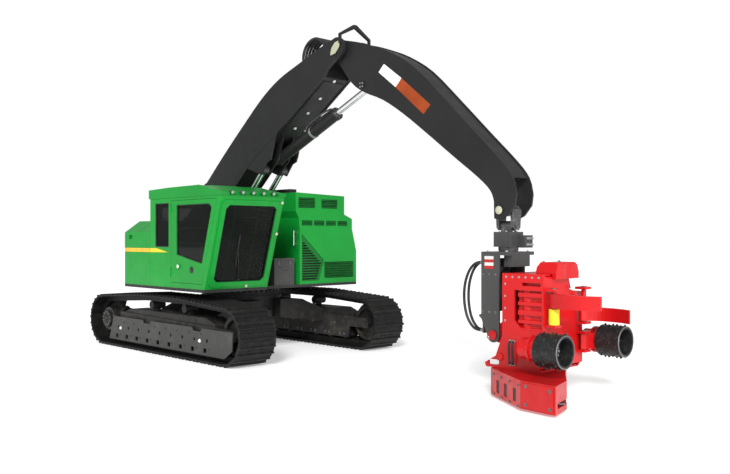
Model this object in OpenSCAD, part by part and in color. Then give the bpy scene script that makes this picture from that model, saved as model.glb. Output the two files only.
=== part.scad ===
// Tracked forestry harvester: two crawler tracks, a slewing upper with cab and
// engine hood, a boom and stick, and a hanging felling and delimbing head.
// X points forwards along the boom, Y to the machine's left, Z up. Sizes and
// places below are counted from the slewing axis, on the ground. The finished
// part's origin is on the ground under the middle of its length, ORIGIN_X in
// front of that axis. Millimetres.

/* [Tracks] */
// Distance between the axes of a track's end wheels
wheel_base = 3940; // [3700:10:4200]
// Pitch radius of the end wheels
wheel_r = 370; // [350:5:390]
// Height of the top run's pitch line over the carrier rollers
crest_z = 910; // [890:5:940]
// Distance between the middles of the two tracks
gauge = 2820; // [2780:10:2900]
// Width of a track shoe
shoe_w = 680; // [620:10:700]
// Shoes in one track
shoes = 48; // [46:1:50]
// Height of a shoe's ribs above its plate
grouser_h = 26; // [16:2:34]

/* [Upper] */
// Underside of the deck plate above the ground
deck_z = 1100; // [1080:5:1140]
// Thickness of the deck plate
deck_t = 50; // [40:5:60]
// Inner face of the cab, right of the slewing axis
cab_in = 510; // [490:5:530]
// Width of the cab
cab_w = 1220; // [1180:10:1240]
// Height of the cab roof's crest above the ground
roof_z = 2800; // [2760:10:2900]
// Thickness of the cab's walls
cab_wall = 50; // [40:5:60]
// Outer face of the hood, left of the slewing axis
hood_side = 1690; // [1660:5:1720]
// Front of the hood
hood_front = 1272; // [1240:4:1300]
// Thickness of the hood's walls
hood_wall = 40; // [30:5:50]
// Reach of the tail's arc beyond the hood's rear corner
tail_over = 34; // [20:2:60]

/* [Boom and stick] */
// Width of the boom
boom_w = 580; // [560:10:600]
// Thickness of the boom's plates
boom_plate = 30; // [20:2:40]
// How far the side plates of boom and stick stand proud of their top and bottom plates
lip = 14; // [8:2:20]
// Width of the stick
stick_w = 380; // [340:10:400]
// Thickness of the stick's plates
stick_plate = 25; // [16:1:30]
// Radius of the main pivot pins
pin_r = 50; // [40:2:56]
// Bore radius of a lift cylinder
lift_bore_r = 72; // [66:2:76]
// Bore radius of the stick cylinder
reach_bore_r = 80; // [70:2:84]

/* [Head] */
// Width of the head's frame across its two side plates
head_w = 860; // [820:10:900]
// Depth of the head's side plates
head_d = 600; // [560:10:640]
// Radius of a feed roller without its spikes
roller_r = 195; // [180:5:210]
// Length of a feed roller
roller_len = 320; // [300:10:340]
// Height of a delimbing knife's blade
knife_h = 165; // [140:5:180]

/* [Hidden] */
$fn = 48;
SEAT = 0.3;   // gap between pieces that only rest on each other
FIT = 0.05;   // radial gap of a pin in its bore
GAP = 6;      // gap between pieces that move past each other

// Middle plane of boom, stick and head
arm_y = -120;
// Middle of the length, from the rear of the tracks to the tips of the open knives
ORIGIN_X = 2567.4;

// Edges of the boom's side plates: [x, z] above, [x, z] below
BOOM = [[[-1430, 2060], [-1160, 1770]], [[-1030, 2520], [-640, 2110]], [[-540, 2950], [-100, 2500]],
        [[70, 3470], [420, 2890]], [[660, 3940], [900, 3290]], [[1160, 4320], [1410, 3600]],
        [[1620, 4580], [1850, 3880]], [[2130, 4760], [2350, 4210]], [[2640, 4930], [2740, 4460]]];
// Edges of the stick's side plates: [x, z] above, [x, z] below
STICK = [[[3000, 5020], [2940, 4740]], [[3400, 4920], [3270, 4330]], [[3750, 4800], [3560, 4140]],
         [[4150, 4630], [3950, 3980]], [[4600, 4350], [4350, 3740]], [[5130, 3860], [4800, 3420]],
         [[5640, 3370], [5300, 3050]], [[6060, 2970], [5700, 2760]], [[6250, 2740], [5900, 2580]], [[6310, 2520], [5960, 2440]]];

// Pivots of the working arm, [x, z] in the middle plane, each set from what carries it
BOOM_FOOT = [-1300, 1920];
BOOM_TIP = [3040, 4870];
STICK_TIP = [6050, 2320];
LIFT_FOOT = BOOM_FOOT + [750, -510];
LIFT_EYE = BOOM[4][1] + [210, -160];
REACH_FOOT = BOOM[5][1] + [-160, -310];
REACH_EYE = BOOM_TIP + [470, -615];
CROSS = STICK_TIP + [0, -190];        // the knuckle's pin, along X
TILT_FOOT = CROSS + [-65, -550];
TILT_EYE = CROSS + [165, -1200];
TILT_PIVOT = CROSS + [-30, -1400];

green = [0.10, 0.52, 0.20];
dark_green = [0.05, 0.28, 0.12];
black = [0.10, 0.10, 0.11];
grey = [0.30, 0.30, 0.32];
red = [0.80, 0.08, 0.10];
chrome = [0.85, 0.86, 0.88];
glass = [0.35, 0.42, 0.42, 0.35];

// Shared shapes

// A side outline in X and Z, from y0 to y1
module side(y0, y1)
    translate([0, y1, 0]) rotate([90, 0, 0]) linear_extrude(height = y1 - y0) children();

// A front outline in Y and Z, from x0 to x1
module front(x0, x1)
    translate([x0, 0, 0]) rotate([90, 0, 90]) linear_extrude(height = x1 - x0) children();

// A round bar along Y at p = [x, z]
module bar_y(p, y0, y1, r)
    translate([p[0], y1, p[1]]) rotate([90, 0, 0]) cylinder(r = r, h = y1 - y0);

// A round bar along X
module bar_x(x0, x1, y, z, r)
    translate([x0, y, z]) rotate([0, 90, 0]) cylinder(r = r, h = x1 - x0);

// What is placed as the finished part has it
module placed() translate([-ORIGIN_X, 0, 0]) children();

// A box between two corners
module block(a, b)
    translate(a) cube(b - a);

// What stands along a line from p to q in the X and Z plane, with its own +X along the line
module along(p, q, y)
    translate([p[0], y, p[1]]) rotate([0, -atan2(q[1] - p[1], q[0] - p[0]), 0]) children();

// Points of a smooth curve through p, n to each stretch
function curve_at(a, b, c, d, t) =
    0.5 * (2 * b + (c - a) * t + (2 * a - 5 * b + 4 * c - d) * t * t + (3 * b - a - 3 * c + d) * t * t * t);
function smooth(p, n) = [
    for (i = [0 : len(p) - 2], k = [0 : n - 1])
        curve_at(p[max(i - 1, 0)], p[i], p[i + 1], p[min(i + 2, len(p) - 1)], k / n),
    p[len(p) - 1]
];
function reversed(p) = [for (i = [len(p) - 1 : -1 : 0]) p[i]];
// Points moved by d towards their partners on the other edge
function inset(p, q, d) = [for (i = [0 : len(p) - 1]) p[i] + (q[i] - p[i]) * d / norm(q[i] - p[i])];
function middle(p, a, b) = [for (i = [a : len(p) - 1 - b]) p[i]];
// An outline between two edges, with d taken off both
function between(p, q, d) = concat(inset(p, q, d), reversed(inset(q, p, d)));

// Hydraulic cylinder, drawn along its own +X from the foot pin, with its pressure line on the side line_y
line_r = 11;
module barrel_body(eye_r, eye_w, bore_r, wall, length, rod_r, eye_bore, line_y, line_x = 0) {
    gland = 60;
    out = bore_r + wall;
    difference() {
        union() {
            if (line_y != 0) {
                translate([line_x, line_y * (out + line_r + 4), 0]) rotate([0, 90, 0])
                    cylinder(r = line_r, h = length - gland - line_x - 10);
                for (x = [line_x + 15, length - gland - 85])
                    translate([x, line_y > 0 ? out - 8 : -out - 2 * line_r - 8, -24]) cube([60, 2 * line_r + 16, 48]);
            }
            rotate([90, 0, 0]) cylinder(r = eye_r, h = eye_w, center = true);
            rotate([0, 90, 0]) cylinder(r = bore_r + wall, h = length);
            translate([length - gland, 0, 0]) rotate([0, 90, 0]) cylinder(r = bore_r + wall + 10, h = gland);
        }
        rotate([90, 0, 0]) cylinder(r = eye_bore, h = eye_w + 200, center = true);
        translate([eye_r + 10, 0, 0]) rotate([0, 90, 0]) cylinder(r = bore_r, h = length - eye_r - 10 - gland);
        translate([eye_r, 0, 0]) rotate([0, 90, 0]) cylinder(r = rod_r + FIT, h = length);
        for (y = [-1, 1]) translate([-2 * eye_r, y * (eye_w / 2 + 100), -2 * eye_r])
            translate([0, -100, 0]) cube([3 * eye_r, 200, 4 * eye_r]);
    }
}

// Its rod, from the eye at the end of a line of the given length back into the barrel
module rod_body(eye_r, eye_w, bore_r, rod_r, length, tail) {
    piston = 60;
    translate([length, 0, 0]) rotate([90, 0, 0]) cylinder(r = eye_r, h = eye_w, center = true);
    translate([length - tail, 0, 0]) rotate([0, 90, 0]) cylinder(r = rod_r, h = tail - eye_r * 0.6);
    translate([length - tail, 0, 0]) rotate([0, 90, 0]) cylinder(r = bore_r - FIT, h = piston);
}

// Undercarriage

half_base = wheel_base / 2;
link_h = 48;                 // half the height of a chain link
plate_h = 64;                // top of a shoe's plate above the pitch line
rib_h = plate_h + grouser_h;
run_z = rib_h;               // pitch line of the bottom run
wheel_z = run_z + wheel_r;
crest_x = 650;
shoe_in = 46;                // underside of a shoe's plate
chain_gap = 45;              // half the gap between the two rows of links
chain_w = 75;                // width of one row of links

crest_d = norm([half_base - crest_x, crest_z - wheel_z]);
leave = atan2(crest_z - wheel_z, crest_x - half_base) - acos(wheel_r / crest_d);
slope_len = sqrt(crest_d * crest_d - wheel_r * wheel_r);
arc_len = wheel_r * (leave + 90) * PI / 180;
// Lengths along the loop, from the rear of the bottom run
S1 = wheel_base;
S2 = S1 + arc_len;
S3 = S2 + slope_len;
S4 = S3 + 2 * crest_x;
S5 = S4 + slope_len;
S6 = S5 + arc_len;
pitch = S6 / shoes;

// Place and heading on the pitch line: [x, z, heading]
function loop_at(s0) =
    let (s = s0 < 0 ? s0 + S6 : s0 >= S6 ? s0 - S6 : s0)
    s < S1 ? [s - half_base, run_z, 0]
    : s < S2 ? let (a = (s - S1) / wheel_r * 180 / PI - 90)
        [half_base + wheel_r * cos(a), wheel_z + wheel_r * sin(a), a + 90]
    : s < S3 ? [half_base + wheel_r * cos(leave) - (s - S2) * sin(leave),
                wheel_z + wheel_r * sin(leave) + (s - S2) * cos(leave), leave + 90]
    : s < S4 ? [crest_x - (s - S3), crest_z, 180]
    : s < S5 ? [-crest_x - (s - S4) * sin(leave), crest_z - (s - S4) * cos(leave), 270 - leave]
    : let (a = 180 - leave + (s - S5) / wheel_r * 180 / PI)
        [-half_base + wheel_r * cos(a), wheel_z + wheel_r * sin(a), a + 90];

// A point u along and v outside the pitch line, seen from the loop point q
function off(q, u, v) = [q[0] + u * cos(q[2]) + v * sin(q[2]), q[1] + u * sin(q[2]) - v * cos(q[2])];

// One shoe's outer outline: [share of the pitch, height]
SHOE = [[-0.49, shoe_in + 4], [-0.47, plate_h], [-0.40, rib_h], [-0.32, rib_h],
        [-0.26, plate_h], [0.10, plate_h], [0.17, rib_h], [0.25, rib_h], [0.31, plate_h], [0.47, plate_h]];

module shoe_band()
    difference() {
        polygon([for (i = [0 : shoes - 1], p = SHOE) off(loop_at((i + 0.5) * pitch), p[0] * pitch, p[1])]);
        polygon([for (i = [0 : shoes - 1]) off(loop_at(i * pitch), 0, shoe_in)]);
    }

module chain_band()
    difference() {
        polygon([for (i = [0 : shoes - 1]) off(loop_at(i * pitch), 0, shoe_in + 3)]);
        polygon([for (i = [0 : 2 * shoes - 1]) off(loop_at(i * pitch / 2), 0, -link_h)]);
    }

module track(sign) {
    y = sign * gauge / 2;
    side(y - shoe_w / 2, y + shoe_w / 2) shoe_band();
    for (k = [-1, 1])
        side(y + k * (chain_gap + chain_w / 2) - chain_w / 2, y + k * (chain_gap + chain_w / 2) + chain_w / 2)
            chain_band();
}

module track_right() color(black) track(-1);
module track_left() color(black) track(1);

tread_r = (wheel_r - link_h) * cos(180 / (PI * wheel_r / pitch * 2)) - 3;
frame_w = 330;        // width of a track frame's box
roller_tread = 95;    // radius of the bottom rollers
carrier_tread = 70;   // radius of the carrier rollers
carrier_x = crest_x - 120;    // under the level part of the top run
ROLLER_X = [for (i = [0 : 7]) -1400 + 400 * i];

module end_wheels()
    color(grey) for (sign = [-1, 1]) {
        y = sign * gauge / 2;
        // idler at the front: two treads beside a middle flange
        difference() {
            union() {
                bar_y([half_base, wheel_z], y - 120, y + 120, tread_r);
                bar_y([half_base, wheel_z], y - 38, y + 38, wheel_r - 8);
            }
            for (k = [-1, 1]) bar_y([half_base, wheel_z], y + k * 95 - 45, y + k * 95 + 45, tread_r - 60);
        }
        bar_y([half_base, wheel_z], y - frame_w / 2 + SEAT, y + frame_w / 2 - SEAT, 85);
        // sprocket at the rear: a toothed rim on its drive hub
        side(y - 30, y + 30) translate([-half_base, wheel_z]) sprocket_outline();
        bar_y([-half_base, wheel_z], y - hub_w, y + hub_w, 215);
        bar_y([-half_base, wheel_z], y + (sign > 0 ? hub_w - 1 : -235), y + (sign > 0 ? 235 : 1 - hub_w), 150);
    }

hub_w = 185 - SEAT;           // half the width of a drive hub, seated on its carrier plate
teeth = 21;
module sprocket_outline()
    polygon([for (i = [0 : teeth - 1], p = [[-0.28, tread_r - 10], [-0.14, wheel_r - 2], [0.14, wheel_r - 2], [0.28, tread_r - 10]])
        let (a = (i + p[0]) * 360 / teeth) p[1] * [cos(a), sin(a)]]);

module track_rollers()
    color(grey) for (sign = [-1, 1]) {
        y = sign * gauge / 2;
        for (x = ROLLER_X) {
            bar_y([x, run_z + link_h + SEAT + roller_tread], y - 122, y + 122, roller_tread);
            bar_y([x, run_z + link_h + SEAT + roller_tread], y - frame_w / 2 + SEAT, y + frame_w / 2 - SEAT, 45);
        }
        for (x = [-carrier_x, carrier_x]) {
            bar_y([x, crest_z - link_h - SEAT - carrier_tread], y - 122, y + 122, carrier_tread);
            difference() {
                block([x - 40, y - 40, frame_top + SEAT], [x + 40, y + 40, crest_z - link_h - carrier_tread]);
                bar_y([x, crest_z - link_h - SEAT - carrier_tread], y - 130, y + 130, carrier_tread - 5);
            }
        }
    }

frame_top = 690;
module track_frame(sign) {
    y = sign * gauge / 2;
    wall = 30;
    low = run_z + link_h + SEAT + roller_tread;
    // box over the rollers, with the two side plates that hold their axles
    side(y - frame_w / 2, y + frame_w / 2)
        polygon([[-1500, 360], [1500, 360], [1500, 600], [1250, frame_top], [-1150, frame_top], [-1500, 600]]);
    for (k = [-1, 1]) difference() {
        side(y + k * (frame_w / 2 + wall / 2) - wall / 2, y + k * (frame_w / 2 + wall / 2) + wall / 2)
            polygon([[-1560, low - 55], [1560, low - 55], [1600, 560], [-1500, 620]]);
    }
    // fork of the idler
    for (k = [-1, 1])
        side(y + k * 165 - 15 + k * 15, y + k * 165 + 15 + k * 15)
            polygon([[1480, 380], [half_base + 90, 380], [half_base + 90, 540], [1480, 560]]);
    // plate that carries the drive hub
    side(y - sign * 205 - 20, y - sign * 205 + 20)
        polygon([[-1450, 360], [-half_base - 40, 280], [-half_base - 200, wheel_z], [-half_base - 40, 640], [-1450, 600]]);
}
module track_frame_right() color(black) track_frame(-1);
module track_frame_left() color(black) track_frame(1);

// Guard plates outside the rollers, with a row of ports and a row of small holes
guard_y = 250;        // outer face of a guard plate, from the track's middle
guard_t = 20;
PORT_X = [for (i = [0 : 8]) -1540 + 360 * i];
module roller_guards()
    color(grey) for (sign = [-1, 1]) {
        y = sign * (gauge / 2 + guard_y);
        difference() {
            side(min(y, y - sign * guard_t), max(y, y - sign * guard_t))
                polygon([[-1830, 110], [1880, 110], [2080, 240], [2100, 530], [1260, 530], [1220, 475], [1000, 475],
                         [960, 530], [-320, 530], [-360, 475], [-580, 475], [-620, 530], [-1660, 530]]);
            for (x = PORT_X) {
                block([x - 48, y - 60, 150], [x + 48, y + 60, 222]);
                bar_y([x + 60, 345], y - 60, y + 60, 30);
            }
        }
        // stand-offs back to the frame
        for (x = [-1300, -100, 1100])
            block([x - 60, min(sign * (gauge / 2 + frame_w / 2 + 30 + SEAT), y - sign * (guard_t)), 270],
                  [x + 60, max(sign * (gauge / 2 + frame_w / 2 + 30 + SEAT), y - sign * (guard_t)), 320]);
    }

ring_r = 640;
tow_x = 780;                  // shackle eyes on the car body: place, height, bore and thickness
tow_z = 670;
tow_r = 36;
tow_t = 60;
module car_body()
    color(black) {
        difference() {
            union() {
                translate([0, 0, 560]) cylinder(r = ring_r + 60, h = 350, $fn = 64);
                // four legs out to the track frames
                for (sx = [-1, 1], sy = [-1, 1]) leg(sx, sy);
            }
            translate([0, 0, 500]) cylinder(r = 260, h = 600);
        }
        // eyes for a tow or lashing shackle, front and rear
        for (sx = [-1, 1]) translate([0, 0, tow_z - tow_t / 2]) linear_extrude(height = tow_t) difference() {
            union() {
                translate([sx * tow_x, 0]) circle(r = tow_r + 45);
                polygon([[sx * (ring_r + 20), -130], [sx * (tow_x + 20), -78], [sx * (tow_x + 20), 78], [sx * (ring_r + 20), 130]]);
            }
            translate([sx * tow_x, 0]) circle(r = tow_r);
        }
        difference() {
            translate([0, 0, 909]) cylinder(r = ring_r + 90, h = 31);
            translate([0, 0, 900]) cylinder(r = 260, h = 60);
        }
    }

module leg(sx, sy) {
    inner = gauge / 2 - frame_w / 2 - 30 - SEAT;
    // seen from the front: deep at the middle, shallow at the frame
    front(sx > 0 ? 330 : -900, sx > 0 ? 900 : -330)
        polygon([[sy * 200, 560], [sy * inner, 420], [sy * inner, 640], [sy * 700, 860], [sy * 200, 880]]);
}

module swing_ring()
    color(grey) difference() {
        union() {
            translate([0, 0, 940 + SEAT]) cylinder(r = ring_r + 70, h = 70);
            translate([0, 0, 1009]) cylinder(r = ring_r, h = deck_z - 1009 - SEAT);
        }
        translate([0, 0, 900]) cylinder(r = ring_r - 130, h = 300);
    }

// Upper

body_z = deck_z + deck_t;      // top of the deck plate
cab_side = cab_in + cab_w;     // outer face of the cab, right of the slewing axis
cab_rear = -220;
cab_front = 1444;              // foot of the windscreen
cab_lean = 0.31;               // forward lean of the windscreen, per unit of height
function screen_x(z) = cab_front + (z - body_z) * cab_lean;
brow_z = roof_z - 130;
slot_l = 240;                  // left wall of the boom's slot
hood_rear = -1100;
tail_r = norm([hood_rear, hood_side]) + tail_over;
box_rear = -1110;
lift_off = 200;                // lift cylinders, either side of the middle plane
lift_pin_r = 40;
barrel_wall = 14;              // wall of the lift and stick cylinders
lift_ear_y = lift_bore_r + barrel_wall + GAP + 12;    // middle of a deck ear, from its cylinder's axis
reach_lug_y = reach_bore_r + barrel_wall + GAP;       // inner face of the stick cylinder's lugs, from the middle plane

module deck()
    color(grey) difference() {
        union() {
            translate([0, 0, deck_z]) linear_extrude(height = deck_t)
                polygon([[cab_front - 20, -cab_side], [cab_front - 20, -cab_in], [hood_front, -cab_in],
                         [hood_front, hood_side], [hood_rear, hood_side], [hood_rear - 500, 1150],
                         [-1900, 700], [-1900, -700], [-1600, -1150], [box_rear, -cab_side]]);
            // cheeks of the boom foot
            for (y = [arm_y - boom_w / 2 - GAP - 40, arm_y + boom_w / 2 + GAP])
                side(y, y + 40)
                    polygon([[-1560, body_z - 1], [-480, body_z - 1], [-700, 1500], [-1140, 2080],
                             [-1300, 2140], [-1460, 2080], [-1560, 1800]]);
            bar_y(BOOM_FOOT, arm_y - boom_w / 2 - GAP - 60, arm_y + boom_w / 2 + GAP + 60, pin_r);
            // ears of the lift cylinders
            for (k = [-1, 1], m = [-1, 1])
                side(arm_y + k * lift_off + m * lift_ear_y - 12, arm_y + k * lift_off + m * lift_ear_y + 12)
                    polygon([[LIFT_FOOT[0] - 180, body_z - 1], [LIFT_FOOT[0] + 180, body_z - 1],
                             [LIFT_FOOT[0] + 90, LIFT_FOOT[1] + 60], [LIFT_FOOT[0] - 90, LIFT_FOOT[1] + 60]]);
            for (k = [-1, 1]) bar_y(LIFT_FOOT, arm_y + k * lift_off - lift_ear_y - 24, arm_y + k * lift_off + lift_ear_y + 24, lift_pin_r);
        }
        // space for the swing ring's inner side
        translate([0, 0, deck_z - 10]) cylinder(r = 250, h = deck_t + 20);
    }

tail_h = 760;
module counterweight()
    color(dark_green) difference() {
        translate([0, 0, body_z + SEAT]) intersection() {
            rotate_extrude($fn = 360)
                polygon([[0, 0], [tail_r - 30, 0], [tail_r, 50], [tail_r, tail_h - 110], [tail_r - 80, tail_h], [0, tail_h]]);
            linear_extrude(height = tail_h)
                polygon([[-3000, -3000], [box_rear - SEAT, -3000], [box_rear - SEAT, -620], [-1600, -620],
                         [-1600, 400], [hood_rear - SEAT, 400], [hood_rear - SEAT, 3000], [-3000, 3000]]);
        }
        // seams between the three castings, and the pockets of the tail lamps
        for (a = [-24, 24]) rotate([0, 0, 180 + a]) block([tail_r - 20, -6, body_z], [tail_r + 50, 6, body_z + tail_h + 10]);
        for (a = [-33, 33]) rotate([0, 0, 180 + a]) block([tail_r - 35, -70, 1560], [tail_r + 50, 70, 1640]);
        // keep the tail inside the hood's and the box's outer faces
        block([-3000, hood_side, 0], [0, 3000, 4000]);
        block([-3000, -3000, 0], [0, -cab_side, 4000]);
        // the deck's plates reach in here
        block([-1570, arm_y - boom_w / 2 - GAP - 45, 0], [-1000, arm_y + boom_w / 2 + GAP + 45, 4000]);
    }

module side_box()
    color(green) difference() {
        front(box_rear, cab_rear - GAP)
            polygon([[-cab_side, body_z + SEAT], [-cab_in - 60, body_z + SEAT], [-cab_in - 60, 2260], [-cab_side + 290, 2260],
                     [-cab_side, 2060]]);
        // air intake in the right face
        block([-960, -cab_side - 10, 1940], [-840, -cab_side + 40, 2010]);
    }

// Side windows and the door's opening, as outlines in X and Z that grow or shrink by m
function rear_pane(m) = [[-55 - m, 1810 - m], [376 + m, 1810 - m], [376 + m, 2540 + m], [-55 - m, 2540 + m]];
door_hinge_x = 452;
door_low = 1235;
door_high = 2570;
post_w = 105;
function door_edge(m) = [[door_hinge_x - m, door_low - m], [screen_x(door_low - m) - post_w + m, door_low - m],
                         [screen_x(door_high + m) - post_w + m, door_high + m], [door_hinge_x - m, door_high + m]];
function door_pane(m) = [[620 - m, 1690 - m], [screen_x(1555) - 200 + m, 1555 - m], [screen_x(2440) - 200 + m, 2440 + m],
                         [screen_x(2500) - 290 + m, 2500 + m], [620 - m, 2500 + m]];
function inner_pane(m) = [[150 - m, 1750 - m], [screen_x(1750) - 260 + m, 1750 - m],
                          [screen_x(2480) - 260 + m, 2480 + m], [150 - m, 2480 + m]];
shell_top = 2620;

// What leans with the windscreen: +X out of it, +Z up along it
module leaning() translate([cab_front, 0, body_z]) rotate([0, atan(cab_lean), 0]) children();
lean_k = sqrt(1 + cab_lean * cab_lean);   // height along the slope per unit of height
screen_low = 95;
screen_high = (2500 - body_z) * lean_k;

module screen_outline(m)
    polygon([[-cab_side + 95 - m, screen_low + 60 - m], [-cab_side + 155 - m, screen_low - m],
             [-cab_in - 155 + m, screen_low - m], [-cab_in - 95 + m, screen_low + 60 - m],
             [-cab_in - 95 + m, screen_high - 60 + m], [-cab_in - 155 + m, screen_high + m],
             [-cab_side + 155 - m, screen_high + m], [-cab_side + 95 - m, screen_high - 60 + m]]);

// Guard bars inside the windows: heights across the side panes, then [y] and heights in the windscreen
SIDE_BARS = [1800, 1880, 2120, 2445];
SCREEN_BAR_Y = [-cab_side + 340, -cab_in - 420];
SCREEN_BAR_Z = [1950, 2270];
bar_r = 7;
module side_bars(x0, front_back, y)
    for (z = SIDE_BARS) bar_x(x0 - 5, screen_x(z) - front_back + 5, y, z, bar_r);

module screen_bars()
    leaning() {
        for (y = SCREEN_BAR_Y) translate([-42, y, screen_low - 5]) cylinder(r = bar_r, h = screen_high - screen_low + 10);
        for (z = SCREEN_BAR_Z)
            bar_y([-42, (z - body_z) * lean_k], SCREEN_BAR_Y[0], SCREEN_BAR_Y[1], bar_r - 2);
    }

module cab_shell()
    color(green) {
        screen_bars();
        side_bars(150, 260, -cab_in - 40);
        cab_body();
        hinge_pins(CAB_HINGE, -1, HINGE_Z[0]);
    }
module cab_body()
    difference() {
        side(-cab_side, -cab_in)
            polygon([[cab_rear, body_z + SEAT], [cab_front, body_z + SEAT], [screen_x(shell_top), shell_top],
                     [cab_rear, shell_top]]);
        side(-cab_side + cab_wall, -cab_in - cab_wall)
            polygon([[cab_rear + cab_wall, body_z + cab_wall], [screen_x(body_z + cab_wall) - cab_wall * lean_k, body_z + cab_wall],
                     [screen_x(shell_top + 10) - cab_wall * lean_k, shell_top + 10], [cab_rear + cab_wall, shell_top + 10]]);
        side(-cab_side - 10, -cab_side + cab_wall + 10) polygon(rear_pane(0));
        side(-cab_side - 10, -cab_side + cab_wall + 10) polygon(door_edge(GAP));
        side(-cab_in - cab_wall - 10, -cab_in + 10) polygon(inner_pane(0));
        block([cab_rear - 10, -cab_side + 200, 1900], [cab_rear + cab_wall + 10, -cab_in - 200, 2500]);
        leaning() front(-cab_wall - 10, 10) screen_outline(0);
    }

module cab_roof()
    color(green) difference() {
        side(-cab_side - 12, -cab_in + 8)
            polygon([[cab_rear - 30, shell_top + SEAT], [screen_x(shell_top) + 20, shell_top + SEAT],
                     [screen_x(brow_z) + 30, brow_z - 20], [screen_x(brow_z) - 20, brow_z + 10],
                     [1257, roof_z], [400, roof_z - 8], [cab_rear - 30, roof_z - 30]]);
        // recess for the lamps above the windscreen
        translate([0, 0, 0]) leaning() block([-60, -cab_side + 130, (2540 - body_z) * lean_k + 92], [60, -cab_in - 130, (2540 - body_z) * lean_k + 200]);
    }

LAMP_Y = [for (i = [0 : 4]) -cab_side + 210 + 200 * i];
lamp_z = (2662 - body_z) * lean_k;
module cab_lamps()
    color(grey) leaning() for (y = LAMP_Y) {
        translate([-60 + SEAT, y, lamp_z]) rotate([0, 90, 0]) cylinder(r = 34, h = 50);
    }

pane_t = 10;
module cab_glass()
    color(glass) {
        side(-cab_side + 20, -cab_side + 20 + pane_t) polygon(rear_pane(-SEAT));
        side(-cab_in - 20 - pane_t, -cab_in - 20) polygon(inner_pane(-SEAT));
        block([cab_rear + 20, -cab_side + 200 + SEAT, 1900 + SEAT], [cab_rear + 20 + pane_t, -cab_in - 200 - SEAT, 2500 - SEAT]);
        leaning() front(-30, -30 + pane_t) screen_outline(-SEAT);
    }

module windscreen_guard()
    color(green) leaning() front(SEAT, 26) difference() {
        screen_outline(55);
        screen_outline(-25);
    }

seat_y = -(cab_side + cab_in) / 2 - 5;
floor_z = body_z + cab_wall + SEAT;
module seat()
    color(black) {
        block([150, seat_y - 205, floor_z], [600, seat_y + 205, 1420]);
        block([120, seat_y - 245, 1420 + SEAT], [700, seat_y + 245, 1560]);
        side(seat_y - 235, seat_y + 235) polygon([[100, 1560 + SEAT], [240, 1560 + SEAT], [160, 2140], [20, 2140]]);
        side(seat_y - 125, seat_y + 125) polygon([[30, 2140 + SEAT], [150, 2140 + SEAT], [130, 2330], [20, 2330]]);
    }

module console()
    color(black) {
        // armrests with their posts and levers
        for (y = [seat_y - 320, seat_y + 310]) {
            block([300, y - 55, 1500], [850, y + 55, 1620]);
            block([420, y - 30, floor_z], [540, y + 30, 1500 - SEAT]);
            translate([780, y, 1620 + SEAT]) cylinder(r = 26, h = 150);
        }
        // screen on its post
        block([1180, seat_y - 435, 1600], [1220, seat_y - 125, 1830]);
        block([1190, seat_y - 295, floor_z], [1210, seat_y - 265, 1600 - SEAT]);
    }

module handrails()
    color(chrome) {
        // grab loop on the side box
        translate([-420, -cab_side + 330, 2260 + SEAT]) rotate([90, 0, 90]) rotate_extrude(angle = 180)
            translate([70, 0]) circle(r = 14);
        // grab bar on the hood's inner wall
        for (z = [1860, 2060]) bar_y([1180, z], slot_l + 30, slot_l + 90 - SEAT, 10);
        translate([1180, slot_l + 30, 1830]) cylinder(r = 12, h = 260);
    }

module toolbox()
    color(grey) {
        block([910, -210, body_z + SEAT], [1252, slot_l - GAP - 10, 1581]);
        block([900, -220, 1580], [1262, slot_l - GAP, 1600]);
    }

// Front outline of the hood, in Y and Z
hood_neck = hood_side - 110;   // face above the lean, and the upper part's face
hood_upper = hood_side - 305;
HOOD = [[slot_l + 90, body_z + SEAT], [hood_side, body_z + SEAT], [hood_side, 1720], [hood_neck, 2130], [hood_neck, 2310],
        [hood_upper, 2390], [hood_upper, 2724], [slot_l, 2757], [slot_l, 2430], [slot_l + 70, 2315], [slot_l + 90, 2090]];
function hood_inner(w) = [[slot_l + 90 + w, body_z + w], [hood_side - w, body_z + w], [hood_side - w, 1720 - w / 2],
        [hood_neck - w, 2130 - w / 2], [hood_neck - w, 2310 - w], [hood_upper - w, 2390 - w], [hood_upper - w, 2724 - w],
        [slot_l + w, 2757 - w], [slot_l + w, 2430 + w], [slot_l + 70 + w, 2315 + w], [slot_l + 90 + w, 2090]];
// Openings in the hood's front: [y0, y1, z0, z1, bars]
GRILLES = [[300, 690, 2490, 2670, 5], [830, 1220, 2490, 2650, 5],
           [380, 620, 2180, 2270, 2], [660, 900, 2180, 2270, 2], [940, 1180, 2180, 2270, 2], [1220, 1460, 2180, 2270, 2],
           [900, 1620, 1240, 1530, 7]];
TRIANGLE = [[slot_l + 140, 1200], [slot_l + 540, 1200], [slot_l + 660, 1560], [slot_l + 140, 2030]];
hood_door_box = [[-860, 1190], [700, 1700]];

module hood_shell()
    color(green) {
        hood_body();
        hinge_pins(HOOD_HINGE, 1, HINGE_Z[1]);
    }
module hood_body()
    difference() {
        front(hood_rear, hood_front) polygon(HOOD);
        front(hood_rear + hood_wall, hood_front - hood_wall) polygon(hood_inner(hood_wall));
        for (g = GRILLES) block([hood_front - hood_wall - 10, g[0], g[2]], [hood_front + 10, g[1], g[3]]);
        front(hood_front - hood_wall - 10, hood_front + 10) polygon(TRIANGLE);
        block([hood_door_box[0][0] - GAP, hood_side - hood_wall - 10, hood_door_box[0][1] - GAP],
              [hood_door_box[1][0] + GAP, hood_side + 10, hood_door_box[1][1] + GAP]);
    }

module hood_door()
    color(green) {
        difference() {
            block([hood_door_box[0][0], hood_side - hood_wall, hood_door_box[0][1]],
                  [hood_door_box[1][0], hood_side, hood_door_box[1][1]]);
            for (i = [0 : 5]) block([-600, hood_side - 12, 1260 + 70 * i], [200, hood_side + 10, 1290 + 70 * i]);
        }
        hinge_sleeves(HOOD_HINGE, 1, HINGE_Z[1]);
    }

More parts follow.
